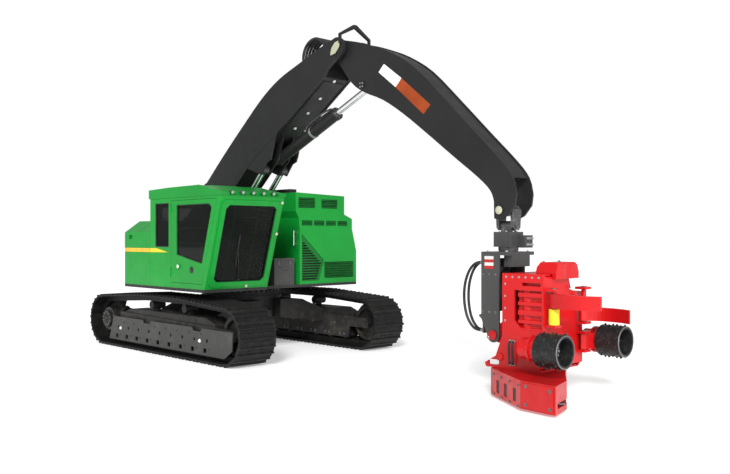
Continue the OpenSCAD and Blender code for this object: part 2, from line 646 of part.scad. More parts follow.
module hood_grilles()
    color(dark_green) {
        for (g = GRILLES) {
            for (i = [0 : g[4] - 1]) {
                z = g[2] + (i + 0.5) * (g[3] - g[2]) / g[4];
                block([hood_front - 30, g[0] + SEAT, z - 5], [hood_front - 12, g[1] - SEAT, z + 5]);
            }
            for (y = [g[0] + SEAT, g[1] - SEAT - 12])
                block([hood_front - 34, y, g[2] + SEAT], [hood_front - 8, y + 12, g[3] - SEAT]);
        }
        difference() {
            front(hood_front - 30, hood_front - 12)
                polygon([TRIANGLE[0] + [SEAT, SEAT], TRIANGLE[1] + [-SEAT, SEAT], TRIANGLE[2] - [SEAT, 0], TRIANGLE[3] + [SEAT, -2 * SEAT]]);
            for (i = [0 : 17])
                block([hood_front - 60, slot_l + 160, 1225 + 45 * i],
                      [hood_front, slot_l + 505 + min(i, 6) * 16 - max(i - 6, 0) * 48, 1252 + 45 * i]);
        }
    }

module engine()
    color(grey) block([hood_rear + 450, slot_l + 320, body_z + hood_wall + SEAT], [hood_front - 622, hood_side - 360, 2000]);

function hood_top(y) = lookup(y, [[slot_l, 2757], [hood_upper, 2724]]);
module exhaust_cap()
    color(black) front(-60, 220)
        polygon([[700, hood_top(700) + SEAT], [1000, hood_top(1000) + SEAT], [1000, 2820], [960, 2860], [740, 2860], [700, 2820]]);

module cab_door()
    color(green) {
        difference() {
            side(-cab_side, -cab_side + cab_wall) polygon(door_edge(0));
            side(-cab_side - 10, -cab_side + cab_wall + 10) polygon(door_pane(0));
        }
        side_bars(620, 200, -cab_side + 40);
        translate([1300, -cab_side + 40, 1560]) cylinder(r = bar_r + 1, h = SIDE_BARS[1] - 1560);
        // latch
        translate([700, -cab_side + 1, 1500]) rotate([90, 0, 0]) cylinder(r = 38, h = 26);
        hinge_sleeves(CAB_HINGE, -1, HINGE_Z[0]);
    }
module door_glass()
    color(glass) side(-cab_side + 20, -cab_side + 20 + pane_t) polygon(door_pane(-SEAT));

// Door hinges: a pin on two lugs of the shell, and the door's sleeve between them
hinge_out = 10;               // from the wall's face to the pin's axis
hinge_pin_r = 7;
hinge_sleeve_r = 10;
HINGE_Z = [[1400, 2450], [1250, 1600]];   // heights on the cab and on the hood
CAB_HINGE = [door_hinge_x - 4, -cab_side - hinge_out];
HOOD_HINGE = [hood_door_box[0][0] - 4, hood_side + hinge_out];
module hinge_pins(c, sign, heights)
    for (z = heights) {
        translate([c[0], c[1], z - 70]) cylinder(r = hinge_pin_r, h = 140);
        for (d = [-70, 45]) block([c[0] - 30, min(c[1] - sign * (hinge_out + 1), c[1] + sign * hinge_pin_r), z + d],
                                  [c[0] - 2, max(c[1] - sign * (hinge_out + 1), c[1] + sign * hinge_pin_r), z + d + 25]);
    }
module hinge_sleeves(c, sign, heights)
    for (z = heights) difference() {
        union() {
            translate([c[0], c[1], z - 35]) cylinder(r = hinge_sleeve_r, h = 70);
            block([c[0], min(c[1] - sign * (hinge_out + 1), c[1] - sign * 6), z - 35],
                  [c[0] + 60, max(c[1] - sign * (hinge_out + 1), c[1] - sign * 6), z + 35]);
        }
        translate([c[0], c[1], z - 50]) cylinder(r = hinge_pin_r + FIT, h = 100);
        // clear of the shell beside the door
        block([c[0] - 40, min(c[1] - sign * (hinge_out - 0.8), c[1] - sign * 30), z - 50],
              [c[0] - 2, max(c[1] - sign * (hinge_out - 0.8), c[1] - sign * 30), z + 50]);
    }

// Working arm

// Smooth edges of the boom's side plates
BOOM_UP = smooth([for (s = BOOM) s[0]], 4);
BOOM_LOW = smooth([for (s = BOOM) s[1]], 4);
ear_t = 55;
reach_pin_r = 45;
reach_eye_gap = GAP + 4;       // from the stick cylinder's eye to a lug
lift_len = norm(LIFT_EYE - LIFT_FOOT);
reach_len = norm(REACH_EYE - REACH_FOOT);
nose_r = 165;
belly_w = 400;

boom_foot_r = 190;
module boom_outline(d) {
    polygon(between(BOOM_UP, BOOM_LOW, d));
    translate(BOOM_FOOT) circle(r = boom_foot_r - d);
}
module boom_hollow()
    polygon(between(middle(BOOM_UP, 4, 1), middle(BOOM_LOW, 4, 1), lip + boom_plate));
// Cover plate bolted under the boom, behind the stick cylinder's foot
module belly_cover()
    polygon(concat(inset(middle(BOOM_LOW, 20, 1), middle(BOOM_UP, 20, 1), lip + 5),
                   reversed(inset(middle(BOOM_LOW, 20, 1), middle(BOOM_UP, 20, 1), lip - 12))));
module nose_outline() {
    translate(BOOM_TIP) circle(r = nose_r);
    polygon([for (d = [[-440, -70], [-400, 60], [-60, 154], [160, 0], [-10, -160], [-210, -280], [-300, -410], [-440, -370]])
        BOOM_TIP + d]);
}

module boom() {
    y0 = arm_y - boom_w / 2;
    y1 = arm_y + boom_w / 2;
    color(black) difference() {
        union() {
            for (y = [y0, y1 - boom_plate]) side(y, y + boom_plate) boom_outline(0);
            difference() {
                side(y0 + 1, y1 - 1) boom_outline(lip);
                side(y0 + boom_plate, y1 - boom_plate) boom_hollow();
            }
            side(arm_y - belly_w / 2, arm_y + belly_w / 2) belly_cover();
            side(y0, y0 + ear_t) nose_outline();
            side(y1 - ear_t, y1) nose_outline();
            // lugs of the lift rods and of the stick cylinder's foot
            for (k = [-1, 1], off_y = [[reach_lug_y, 24], [262, 24]])
                side(arm_y + k * off_y[0] - (k < 0 ? off_y[1] : 0), arm_y + k * off_y[0] + (k < 0 ? 0 : off_y[1]))
                    lug_outline(off_y[0] == reach_lug_y);
            bar_y(BOOM_TIP, y0 - 14, y0 + ear_t + 1, 62);
            bar_y(BOOM_TIP, y1 - ear_t - 1, y1 + 14, 62);
            bar_y(BOOM_TIP, y0, y1, pin_r);
            bar_y(REACH_FOOT, arm_y - reach_lug_y - 40, arm_y + reach_lug_y + 40, reach_pin_r);
        }
        bar_y(BOOM_FOOT, y0 - 10, y1 + 10, pin_r + FIT);
    }
}
module lug_outline(deep) {
    polygon([BOOM[4][1] + [-260, -90], LIFT_EYE + [-90, -60], LIFT_EYE + [20, -95], REACH_FOOT + [40, deep ? -110 : -60],
             REACH_FOOT + [150, -20], BOOM[5][1] + [150, 140], BOOM[4][1] + [0, 110]]);
}

module hose_arch()
    color(black) front(BOOM_TIP[0] + 90, BOOM_TIP[0] + 130) {
        in_w = boom_w / 2 + SEAT;
        w = in_w + 35;
        polygon([[arm_y - w, 4930], [arm_y - in_w, 4930], [arm_y - in_w, 5050], [arm_y, 5195], [arm_y + in_w, 5050],
                 [arm_y + in_w, 4930], [arm_y + w, 4930], [arm_y + w, 5075], [arm_y + 30, 5250], [arm_y - 30, 5250],
                 [arm_y - w, 5075]]);
    }

// Hoses that arch over the boom's end, from one clamp to the other: points of the boom's upper edge
BOOM_TOP = inset(BOOM_UP, BOOM_LOW, lip);
HUMP = [[BOOM_TOP[27], BOOM_TOP[28]], [BOOM_TOP[31], BOOM_TOP[32]]];
clamp_h = 72;
clamp_w = 320;
function clamp_top(c) = (c[0] + c[1]) / 2 + [0, clamp_h];
// Clamps of the pipes that run up the boom, as stations of its upper edge, and the pipes' places across it
PIPE_CLAMPS = [6, 11, 16, 21];
PIPE_Y = [-120, -60, 60, 120];
pipe_r = 14;
pipe_h = 40;                   // from the boom's top plate to a pipe's middle
module clamp(a, b) side(arm_y - clamp_w / 2, arm_y + clamp_w / 2)
    polygon([a + [0, SEAT], b + [0, SEAT], b + [0, clamp_h], a + [0, clamp_h]]);
function pipe_path(y) = let (edge = inset(middle(BOOM_UP, 6, 5), middle(BOOM_LOW, 6, 5), lip - pipe_h))
    [for (p = edge) [p[0], arm_y + y, p[1]]];
module boom_hoses()
    color(black) {
        p = clamp_top(HUMP[0]);
        q = clamp_top(HUMP[1]);
        for (c = HUMP) clamp(c[0], c[1]);
        for (i = PIPE_CLAMPS) clamp(BOOM_TOP[i], BOOM_TOP[i] + (BOOM_TOP[i + 1] - BOOM_TOP[i]) * 0.4);
        for (y = PIPE_Y) tube(pipe_path(y), pipe_r, 8);
        for (i = [-2 : 2]) translate([0, arm_y + 60 * i, 0]) along(p, q, 0)
            translate([norm(q - p) / 2, 0, -2]) rotate([90, 0, 0])
                rotate_extrude(angle = 180, $fn = 96) translate([norm(q - p) / 2, 0]) circle(r = 22);
    }

module lift_barrels()
    color(black) for (k = [-1, 1])
        along(LIFT_FOOT, LIFT_EYE, arm_y + k * lift_off)
            barrel_body(75, 2 * (lift_ear_y - 12 - GAP), lift_bore_r, barrel_wall, 1560, 48, lift_pin_r + FIT, k, 150);
module lift_rods()
    color(chrome) for (k = [-1, 1])
        along(LIFT_FOOT, LIFT_EYE, arm_y + k * lift_off)
            rod_body(75, 120, lift_bore_r, 48, lift_len, 1650);

module reach_barrel()
    color(black) along(REACH_FOOT, REACH_EYE, arm_y)
        barrel_body(85, 2 * (reach_lug_y - reach_eye_gap), reach_bore_r, barrel_wall, 1640, 52, reach_pin_r + FIT, 0);
module reach_rod()
    color(chrome) along(REACH_FOOT, REACH_EYE, arm_y) rod_body(85, 120, reach_bore_r, 52, reach_len, 1500);

STICK_UP = smooth([for (s = STICK) s[0]], 3);
STICK_LOW = smooth([for (s = STICK) s[1]], 3);
root_w = boom_w - 2 * ear_t - 2 * GAP;

module stick_plates() {
    polygon(concat(STICK_UP, reversed(STICK_LOW)));
    translate(BOOM_TIP) circle(r = 145);
    polygon([[6310, 2520], [6290, 2380], [6180, 2250], [6060, 2195], [5965, 2215], [5960, 2440], [6100, 2600]]);
}
module stick_core()
    polygon(concat([[3180, 4860]], middle(inset(STICK_UP, STICK_LOW, lip), 2, 3), [[5820, 2700]],
                   reversed(middle(inset(STICK_LOW, STICK_UP, lip), 9, 6)), [[3720, 4500], [3200, 4740]]));
module stick_hollow()
    polygon(between(middle(STICK_UP, 10, 7), middle(STICK_LOW, 10, 7), lip + stick_plate));

module stick() {
    h = stick_w / 2;
    color(black) difference() {
        union() {
            for (k = [-1, 1]) side(arm_y + k * (h - stick_plate / 2) - stick_plate / 2, arm_y + k * (h - stick_plate / 2) + stick_plate / 2) stick_plates();
            side(arm_y - h + 1, arm_y + h - 1) stick_core();
            bar_y(BOOM_TIP, arm_y - root_w / 2, arm_y + root_w / 2, 120);
            // lugs and covers of the cylinder's eye
            for (k = [-1, 1]) {
                side(arm_y + k * 86 - 12, arm_y + k * 86 + 12) reach_lug();
                bar_y(REACH_EYE, arm_y + k * (h + 7) - 8, arm_y + k * (h + 7) + 8, 60);
                bar_y(STICK_TIP, arm_y + k * (h + 7) - 8, arm_y + k * (h + 7) + 8, 60);
            }
            bar_y(STICK_TIP, arm_y - h, arm_y + h, pin_r - 6);
        }
        side(arm_y - h + stick_plate, arm_y + h - stick_plate) stick_hollow();
        bar_y(BOOM_TIP, arm_y - root_w, arm_y + root_w, pin_r + FIT);
    }
}
module reach_lug() {
    polygon([REACH_EYE + [-20, -95], REACH_EYE + [95, -60], STICK[3][1] + [10, 15], STICK[2][1] + [170, 360],
             STICK[2][1] + [40, 340], REACH_EYE + [-95, 20]]);
}

// Hanger: link on the stick's pin, knuckle with the rotator, yoke
link_half = stick_w / 2 - stick_plate - GAP;

module link()
    color(grey) difference() {
        union() {
            bar_y(STICK_TIP, arm_y - link_half, arm_y + link_half, 75);
            for (k = [-1, 1])
                front(CROSS[0] + k * 115 - 20, CROSS[0] + k * 115 + 20)
                    polygon([[arm_y - 95, 2330], [arm_y + 95, 2330], [arm_y + 75, 2100], [arm_y + 40, 2065], [arm_y - 40, 2065], [arm_y - 75, 2100]]);
            block([CROSS[0] - 134, arm_y - 95, 2255], [CROSS[0] + 134, arm_y + 95, 2330]);
        }
        bar_y(STICK_TIP, arm_y - 300, arm_y + 300, pin_r - 6 + FIT);
        bar_x(CROSS[0] - 200, CROSS[0] + 200, arm_y, CROSS[1], 32 + FIT);
    }

rotator_top = 2045;
rotator_low = 1800;
module knuckle()
    color(grey) {
        bar_x(CROSS[0] - 142, CROSS[0] + 142, arm_y, CROSS[1], 32);
        bar_x(CROSS[0] - 88, CROSS[0] + 88, arm_y, CROSS[1], 55);
        block([CROSS[0] - 80, arm_y - 50, rotator_top - 1], [CROSS[0] + 80, arm_y + 50, CROSS[1]]);
        for (k = [-1, 1]) bar_x(CROSS[0] + k * (141 + SEAT) - 6, CROSS[0] + k * (141 + SEAT) + 6, arm_y, CROSS[1], 46);
    }
module rotator()
    color(black) {
        block([CROSS[0] - 135, arm_y - 135, 1850], [CROSS[0] + 135, arm_y + 135, rotator_top - 1 - SEAT]);
        translate([CROSS[0], arm_y, rotator_low]) cylinder(r = 130, h = 50);
        block([CROSS[0] + 135 + SEAT, arm_y + 10, 1840], [CROSS[0] + 250, arm_y + 180, 2000]);
    }

yoke_in = 255;        // inner face of a yoke plate, from the middle plane
yoke_t = 30;
yoke_x = CROSS[0] - 220;      // rear of the yoke
module yoke()
    color(black) difference() {
        union() {
            translate([CROSS[0], arm_y, 1790]) cylinder(r = 120, h = 10 - SEAT);
            block([yoke_x, arm_y - yoke_in - yoke_t, 1745], [CROSS[0] + 200, arm_y + yoke_in + yoke_t, 1790]);
            for (k = [-1, 1]) side(arm_y + k * (yoke_in + yoke_t / 2) - yoke_t / 2, arm_y + k * (yoke_in + yoke_t / 2) + yoke_t / 2) {
                polygon([for (d = [[0, 1746], [280, 1746], [280, 730], [190, 640], [100, 720], [0, 930], [-35, 955], [-35, 975], [0, 990]])
                    [yoke_x + d[0], d[1]]]);
                translate(TILT_PIVOT) circle(r = 95);
            }
            block([CROSS[0] + 70, arm_y - 190, 1600], [CROSS[0] + 200, arm_y + 190, 1746]);
            block([yoke_x, arm_y - yoke_in - 1, 1000], [yoke_x + 20, arm_y + yoke_in + 1, 1700]);
            block([yoke_x, arm_y - yoke_in - 1, 740], [yoke_x + 20, arm_y - yoke_in + 115, 1001]);
            // ears of the tilt cylinder
            for (k = [-1, 1]) side(arm_y + k * 66 - 10, arm_y + k * 66 + 10)
                polygon([[yoke_x + 19, TILT_FOOT[1] - 90], [yoke_x + 19, TILT_FOOT[1] + 90], TILT_FOOT + [0, 60],
                         TILT_FOOT + [55, 0], TILT_FOOT + [0, -60]]);
            bar_y(TILT_FOOT, arm_y - 80, arm_y + 80, 28);
        }
        for (k = [-1, 1]) bar_y(TILT_PIVOT, arm_y + k * (yoke_in + yoke_t / 2) - 40, arm_y + k * (yoke_in + yoke_t / 2) + 40, 40 + FIT);
    }

tilt_len = norm(TILT_EYE - TILT_FOOT);
module tilt_barrel()
    color(black) along(TILT_FOOT, TILT_EYE, arm_y) barrel_body(48, 100, 45, 10, 600, 28, 28 + FIT, 0);
module tilt_rod()
    color(chrome) along(TILT_FOOT, TILT_EYE, arm_y) rod_body(46, 90, 45, 28, tilt_len, 610);

// Head, standing upright: the log passes in front of it, along Z
frame_x = CROSS[0] + 220;
frame_front = frame_x + head_d;
function frame_side(k) = arm_y + k * head_w / 2;
frame_low = 380;
frame_high = 1530;
saw_top = 350;
saw_low = 30;
FEED_PIVOT = [frame_front + 60, 360];     // [x, distance from the middle plane]
KNIFE_PIVOT = [frame_front + 82, 330];
feed_z = 676;
feed_y = 680;

// Housing of the knives' cylinders, seen through the side plate's window: stacked shelves round a drum
WINDOW = [[frame_x + 180, 960], [frame_x + 180, 1330], [frame_front + 5, 1330], [frame_front + 5, 850], [frame_x + 290, 850]];
SHELVES = [[850, 24], [930, 40], [1030, 60], [1150, 40], [1250, 50]];   // height and thickness
function depth(k, d) = [min(frame_side(k) - k * d[0], frame_side(k) - k * d[1]), max(frame_side(k) - k * d[0], frame_side(k) - k * d[1])];
module knife_housing(k) {
    in = depth(k, [12, 210]);
    web = depth(k, [60, 80]);
    for (s = SHELVES) side(in[0], in[1])
        polygon([[frame_x + 230, s[0]], [frame_front - 1, s[0]], [frame_front - 1, s[0] + s[1]], [frame_x + 230, s[0] + s[1]]]);
    translate([frame_x + 320, frame_side(k) - k * 105, 840]) cylinder(r = 72, h = 500);
    block([frame_x + 210, web[0], 821], [frame_front - 24, web[1], k < 0 ? 1507 : far_top]);
}
// The far side is lower at the front than the side with the slot: where its drop starts and ends
far_top = 1250;
FAR_DROP = [[390, frame_high], [430, 1340], [head_d, far_top]];
function drop(i) = [frame_x + FAR_DROP[i][0], FAR_DROP[i][1]];

module head_frame()
    color(red) difference() {
        union() {
            for (k = [-1, 1]) side(depth(k, [0, 30])[0], depth(k, [0, 30])[1]) difference() {
                polygon(concat([[frame_x, frame_high]], k < 0 ? [[frame_front, frame_high]] : [drop(0), drop(1), drop(2)],
                    [[frame_front, frame_low + 60], [frame_front - 60, saw_top + SEAT], [frame_x - 250, saw_top + SEAT],
                     [frame_x - 270, 400], [frame_x - 100, 500], [frame_x, 760]]));
                polygon(WINDOW);
            }
            for (k = [-1, 1]) knife_housing(k);
            // bosses over the ends of the lower pin
            for (k = [-1, 1]) side(depth(k, [-22, 1])[0], depth(k, [-22, 1])[1]) translate([frame_x - 30, 490]) circle(r = 46);
            // back, front and cross plates
            block([frame_x, frame_side(-1) + 1, 600], [frame_x + 25, frame_side(1) - 1, frame_high - 30]);
            front(frame_front - 25, frame_front)
                polygon([[frame_side(-1) + 1, saw_top + 60], [frame_side(1) - 1, saw_top + 60], [frame_side(1) - 1, far_top - 1],
                         [arm_y + 130, far_top + 90], [arm_y + 110, frame_high - 30], [frame_side(-1) + 1, frame_high - 30]]);
            for (z = [saw_top + SEAT, 820]) block([frame_x + 1, frame_side(-1) + 1, z], [frame_front - 61, frame_side(1) - 1, z + 24]);
            translate([0, 0, frame_high - 24]) linear_extrude(height = 24)
                polygon([[frame_x + 1, frame_side(-1) + 1], [frame_front - 24, frame_side(-1) + 1], [frame_front - 24, arm_y + 110],
                         [frame_x + 389, frame_side(1) - 1], [frame_x + 1, frame_side(1) - 1]]);
            // lugs of the tilt pivot
            for (k = [-1, 1]) side(arm_y + k * (yoke_in - GAP - 15) - 15, arm_y + k * (yoke_in - GAP - 15) + 15) {
                polygon([[frame_x + 1, 600], [frame_x + 1, 1000], [TILT_PIVOT[0] - 10, 815], [TILT_PIVOT[0] - 60, 670], [TILT_PIVOT[0] + 40, 640]]);
                translate(TILT_PIVOT) circle(r = 85);
            }
            bar_y(TILT_PIVOT, arm_y - yoke_in - yoke_t - 12, arm_y + yoke_in + yoke_t + 12, 40);
            // lugs of the tilt cylinder's eye
            for (k = [-1, 1]) side(arm_y + k * 62 - 10, arm_y + k * 62 + 10)
                polygon([[frame_x + 1, 850], [frame_x + 1, 1010], [TILT_EYE[0], TILT_EYE[1] + 55], [TILT_EYE[0] - 55, TILT_EYE[1]], [TILT_EYE[0], TILT_EYE[1] - 55]]);
            // hinge plates of the feed arms and knives, with their pins
            for (k = [-1, 1]) {
                for (z = [feed_z - 130, feed_z + 100]) block([frame_front - 1, arm_y + k * FEED_PIVOT[1] - 70, z], [FEED_PIVOT[0] + 60, arm_y + k * FEED_PIVOT[1] + 70, z + 30]);
                translate([FEED_PIVOT[0], arm_y + k * FEED_PIVOT[1], feed_z - 130]) cylinder(r = 30, h = 260);
            }
            for (k = [-1, 1]) {
                for (z = [900, 1330]) block([frame_front - 1, arm_y + k * KNIFE_PIVOT[1] - 70, z], [KNIFE_PIVOT[0] + 60, arm_y + k * KNIFE_PIVOT[1] + 70, z + 30]);
                translate([KNIFE_PIVOT[0], arm_y + k * KNIFE_PIVOT[1], 900]) cylinder(r = 30, h = 460);
            }
        }
        // slot and pocket in each side plate
        block([frame_x + 290, frame_side(-1) - 50, 1385], [frame_front - 40, frame_side(-1) + 50, 1425]);
        block([frame_x - 210, frame_side(-1) - 50, 385], [frame_x - 50, frame_side(1) + 50, 450]);
    }

// Outline of the saw box in plan, from the frame's rear and the middle plane
SAW_PLAN = [[-120, -500], [660, -980], [1160, -1030], [1040, -620], [820, -300], [620, 20], [530, 180], [-70, 180], [-250, 100], [-250, -260]];
SAW = [for (p = SAW_PLAN) [frame_x, arm_y] + p];
slant = SAW[1] - SAW[0];
SAW_SLOTS = [0.2, 0.46, 0.76];   // shares of the slanted face's length
module saw_box()
    color(red) difference() {
        union() {
            translate([0, 0, saw_low]) linear_extrude(height = saw_top - saw_low) polygon(SAW);
            // cover over the saw's motor, on the outer face
            translate([SAW[1][0], SAW[1][1], 0]) rotate([0, 0, atan2(SAW[2][1] - SAW[1][1], SAW[2][0] - SAW[1][0])])
                block([25, -12, saw_low + 20], [norm(SAW[2] - SAW[1]) - 30, 5, saw_top - 20]);
        }
        translate([SAW[0][0], SAW[0][1], 0]) rotate([0, 0, atan2(slant[1], slant[0])])
            for (f = SAW_SLOTS) block([f * norm(slant), -10, 80], [f * norm(slant) + 95, 38, 235]);
        // slot that the saw bar swings out of
        translate([0, 0, 90]) linear_extrude(height = 60)
            polygon([for (p = [[290, -680], [630, -890], [1230, -980], [1230, 520], [130, 520], [130, -480]])
                [frame_x, arm_y] + p]);
    }

SAW_PIVOT = [frame_x + 370, arm_y - 520];
module saw_bar()
    color(grey) {
        translate([0, 0, 112]) linear_extrude(height = 14) {
            polygon([for (p = [[-60, -60], [690, -310], [740, -260], [710, -200], [40, 70]]) SAW_PIVOT + p]);
            translate(SAW_PIVOT) circle(r = 80);
        }
        // hub between the slot's faces
        translate([SAW_PIVOT[0], SAW_PIVOT[1], 90 + SEAT]) cylinder(r = 50, h = 60 - 2 * SEAT);
    }

top_w = 250;                  // half the width of the fixed top knife
module top_knife()
    color(red) difference() {
        intersection() {
            // hooked over the front plate, seen from the side
            side(arm_y - top_w, arm_y + top_w)
                polygon([for (d = [[-230, SEAT], [GAP, SEAT], [GAP, -60], [60, -60], [60, 110], [30, 140], [-190, 140], [-230, 80]])
                    [frame_front, frame_high] + d]);
            // narrower at the top, seen from the front
            front(frame_front - 240, frame_front + 70)
                polygon([[arm_y - top_w, frame_high - 70], [arm_y + top_w, frame_high - 70], [arm_y + top_w, frame_high + 20],
                         [arm_y + top_w - 50, frame_high + 150], [arm_y - top_w + 50, frame_high + 150], [arm_y - top_w, frame_high + 20]]);
        }
        // cutting edge round the stem
        translate([frame_front + 280, arm_y, frame_high - 100]) cylinder(r = 235, h = 400);
    }

module feed_arm(k) {
    y = arm_y + k * FEED_PIVOT[1];
    yr = arm_y + k * feed_y;
    color(red) difference() {
        union() {
            translate([0, 0, feed_z - 94]) linear_extrude(height = 188)
                polygon([for (d = [[-45, y - 10 * k], [-30, y + 60 * k], [-50, yr - 60 * k], [-50, yr + 120 * k], [70, yr + 120 * k],
                                   [70, yr - 130 * k], [50, y - 20 * k], [0, y - 55 * k]]) [FEED_PIVOT[0] + d[0], d[1]]]);
            bar_x(FEED_PIVOT[0] - 30, FEED_PIVOT[0] + 80, yr, feed_z, 140);
            bar_x(FEED_PIVOT[0] - 30, FEED_PIVOT[0] - 5, yr, feed_z, 165);
            bar_x(FEED_PIVOT[0] + 55, FEED_PIVOT[0] + 80, yr, feed_z, 160);
            bar_x(FEED_PIVOT[0] + 79, FEED_PIVOT[0] + 160, yr, feed_z, 45);
            // hydraulic motor behind the arm
            bar_x(FEED_PIVOT[0] - 160, FEED_PIVOT[0] - 29, yr, feed_z, 128);
            bar_x(FEED_PIVOT[0] - 190, FEED_PIVOT[0] - 159, yr, feed_z, 104);
        }
        translate([FEED_PIVOT[0], y, feed_z - 200]) cylinder(r = 30 + FIT, h = 400);
    }
}
module feed_arm_right() feed_arm(-1);
module feed_arm_left() feed_arm(1);

roller_x = FEED_PIVOT[0] + 80;
module feed_roller(k) {
    y = arm_y + k * feed_y;
    color(black) {
        difference() {
            union() {
                difference() {
                    bar_x(roller_x + SEAT, roller_x + roller_len, y, feed_z, roller_r);
                    bar_x(roller_x + 85, roller_x + 500, y, feed_z, roller_r - 35);
                }
                bar_x(roller_x + 50, roller_x + 190, y, feed_z, 90);
            }
            bar_x(roller_x - 10, roller_x + 82, y, feed_z, 45 + FIT);
        }
        for (r = [0 : 3], i = [0 : 11])
            translate([roller_x + 40 + 80 * r, y, feed_z]) rotate([(i + (r % 2) / 2) * 30, 0, 0]) translate([0, 0, roller_r - 4]) rotate([0, 0, 45])
                cylinder(r1 = 20, r2 = 8, h = 24, $fn = 4);
    }
}
module feed_roller_right() feed_roller(-1);
module feed_roller_left() feed_roller(1);

// A delimbing knife in plan, for the left side, open: [x, distance outside its pivot]
KNIFE_OUT = smooth([[-62, 16], [-10, 68], [200, 130], [420, 110], [620, 10]], 4);
KNIFE_IN = smooth([[620, -20], [420, 50], [200, 60], [60, -10], [0, -60], [-56, -26]], 4);
module knife(k, z, h) {
    color(red) difference() {
        translate([KNIFE_PIVOT[0], arm_y + k * KNIFE_PIVOT[1], z]) linear_extrude(height = h)
            polygon([for (p = concat(KNIFE_OUT, KNIFE_IN)) [p[0], k * p[1]]]);
        translate([KNIFE_PIVOT[0], arm_y + k * KNIFE_PIVOT[1], z - 10]) cylinder(r = 30 + FIT, h = h + 20);
    }
}
module knife_right() knife(-1, 1135, knife_h);
module knife_left() knife(1, 940, knife_h);

// Hoses looping outside the yoke, round points chosen by hand: [x, y, z]
HOSE = [[5830 - SEAT, -330, 1650], [5740, -330, 1650], [5660, -332, 1620], [5590, -335, 1550], [5540, -340, 1450], [5510, -345, 1330],
        [5500, -345, 1200], [5510, -345, 1080], [5540, -345, 960], [5590, -340, 860], [5660, -335, 790], [5740, -330, 768], [5830 - SEAT, -330, 768]];
module tube(p, r, sides) {
    n = len(p);
    dirs = [for (i = [0 : n - 1]) let (d = p[min(i + 1, n - 1)] - p[max(i - 1, 0)]) d / norm(d)];
    ring = [for (i = [0 : n - 1], k = [0 : sides - 1])
        let (t = dirs[i], u = [0, 1, 0] - t * t[1], un = u / norm(u), w = cross(t, un), a = 360 * k / sides)
        p[i] + r * (cos(a) * un + sin(a) * w)];
    polyhedron(points = concat(ring, [p[0], p[n - 1]]), faces = concat(
        [for (i = [0 : n - 2], k = [0 : sides - 1]) let (m = (k + 1) % sides)
            [i * sides + k, (i + 1) * sides + k, (i + 1) * sides + m, i * sides + m]],
        [for (k = [0 : sides - 1]) [n * sides, k, (k + 1) % sides]],
        [for (k = [0 : sides - 1]) [n * sides + 1, (n - 1) * sides + (k + 1) % sides, (n - 1) * sides + k]]));
}
function shifted(p, dy, out) = [for (i = [0 : len(p) - 1]) p[i] + [out * sin(180 * i / (len(p) - 1)), dy, 0]];
module hose_outer() color(black) tube(shifted(HOSE, 0, 0), 18, 10);
module hose_inner() color(black) tube(shifted(HOSE, 55, 30), 18, 10);

placed() car_body();
placed() swing_ring();
placed() track_frame_right();
placed() track_frame_left();
placed() roller_guards();
placed() track_rollers();
placed() end_wheels();
placed() track_right();
placed() track_left();
placed() deck();
placed() counterweight();
placed() side_box();
placed() cab_shell();
placed() cab_roof();
placed() cab_lamps();
placed() cab_glass();
placed() windscreen_guard();
placed() seat();
placed() console();
placed() handrails();
placed() toolbox();
placed() hood_shell();
placed() hood_grilles();
placed() engine();
placed() exhaust_cap();
placed() cab_door();
placed() door_glass();
placed() hood_door();
placed() boom();
placed() hose_arch();
placed() boom_hoses();
placed() lift_barrels();
placed() lift_rods();
placed() reach_barrel();
placed() reach_rod();
placed() stick();
placed() link();
placed() knuckle();
placed() rotator();
placed() yoke();
placed() tilt_barrel();
placed() tilt_rod();
placed() head_frame();
placed() saw_box();
placed() saw_bar();
placed() top_knife();
placed() feed_arm_right();
placed() feed_arm_left();
placed() feed_roller_right();
placed() feed_roller_left();
placed() knife_right();
placed() knife_left();
placed() hose_outer();
placed() hose_inner();
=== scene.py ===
"""Tracked forestry harvester: finishes, trim and fittings over the CAD frame.

Metres, in the frame of the CAD: X forwards along the boom, Y to the machine's left, Z up.
Places are written from the slewing axis, and each mesh is then moved to the part's origin.
"""

import math

import bmesh
import bpy
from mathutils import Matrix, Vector
from mathutils.bvhtree import BVHTree


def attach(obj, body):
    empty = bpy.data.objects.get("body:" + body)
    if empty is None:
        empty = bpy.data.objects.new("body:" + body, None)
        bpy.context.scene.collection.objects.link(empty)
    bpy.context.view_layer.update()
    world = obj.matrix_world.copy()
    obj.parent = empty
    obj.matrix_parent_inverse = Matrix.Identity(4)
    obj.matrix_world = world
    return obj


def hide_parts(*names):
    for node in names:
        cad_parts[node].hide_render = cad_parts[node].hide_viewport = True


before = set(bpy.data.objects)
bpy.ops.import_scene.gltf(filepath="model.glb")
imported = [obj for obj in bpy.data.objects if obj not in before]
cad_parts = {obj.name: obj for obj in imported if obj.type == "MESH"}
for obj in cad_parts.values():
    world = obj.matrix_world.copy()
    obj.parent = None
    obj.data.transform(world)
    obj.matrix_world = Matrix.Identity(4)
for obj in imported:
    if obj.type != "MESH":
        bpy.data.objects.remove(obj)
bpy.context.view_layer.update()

# Dimensions shared with the solids
MID = 2.5674          # the part's origin, in front of the slewing axis
ARM_Y = -0.12
ARM_HALF = 0.29
STICK_HALF = 0.19
CAB_SIDE = -1.73
CAB_IN = -0.51
CAB_FRONT = 1.444
CAB_REAR = -0.22
CAB_LEAN = 0.31
BODY_Z = 1.15
SEAT_Y = -1.125
HOOD_FRONT = 1.272
HOOD_SIDE = 1.69
TAIL_R = 2.0505
GAUGE = 2.82
WHEEL_X = 1.97
WHEEL_Z = 0.46
BOOM_FOOT = (-1.30, 1.92)
BOOM_TIP = (3.04, 4.87)
STICK_TIP = (6.05, 2.32)
REACH_FOOT = (1.25, 3.29)
REACH_EYE = (3.51, 4.255)
LIFT_FOOT = (-0.55, 1.41)
LIFT_EYE = (1.11, 3.13)
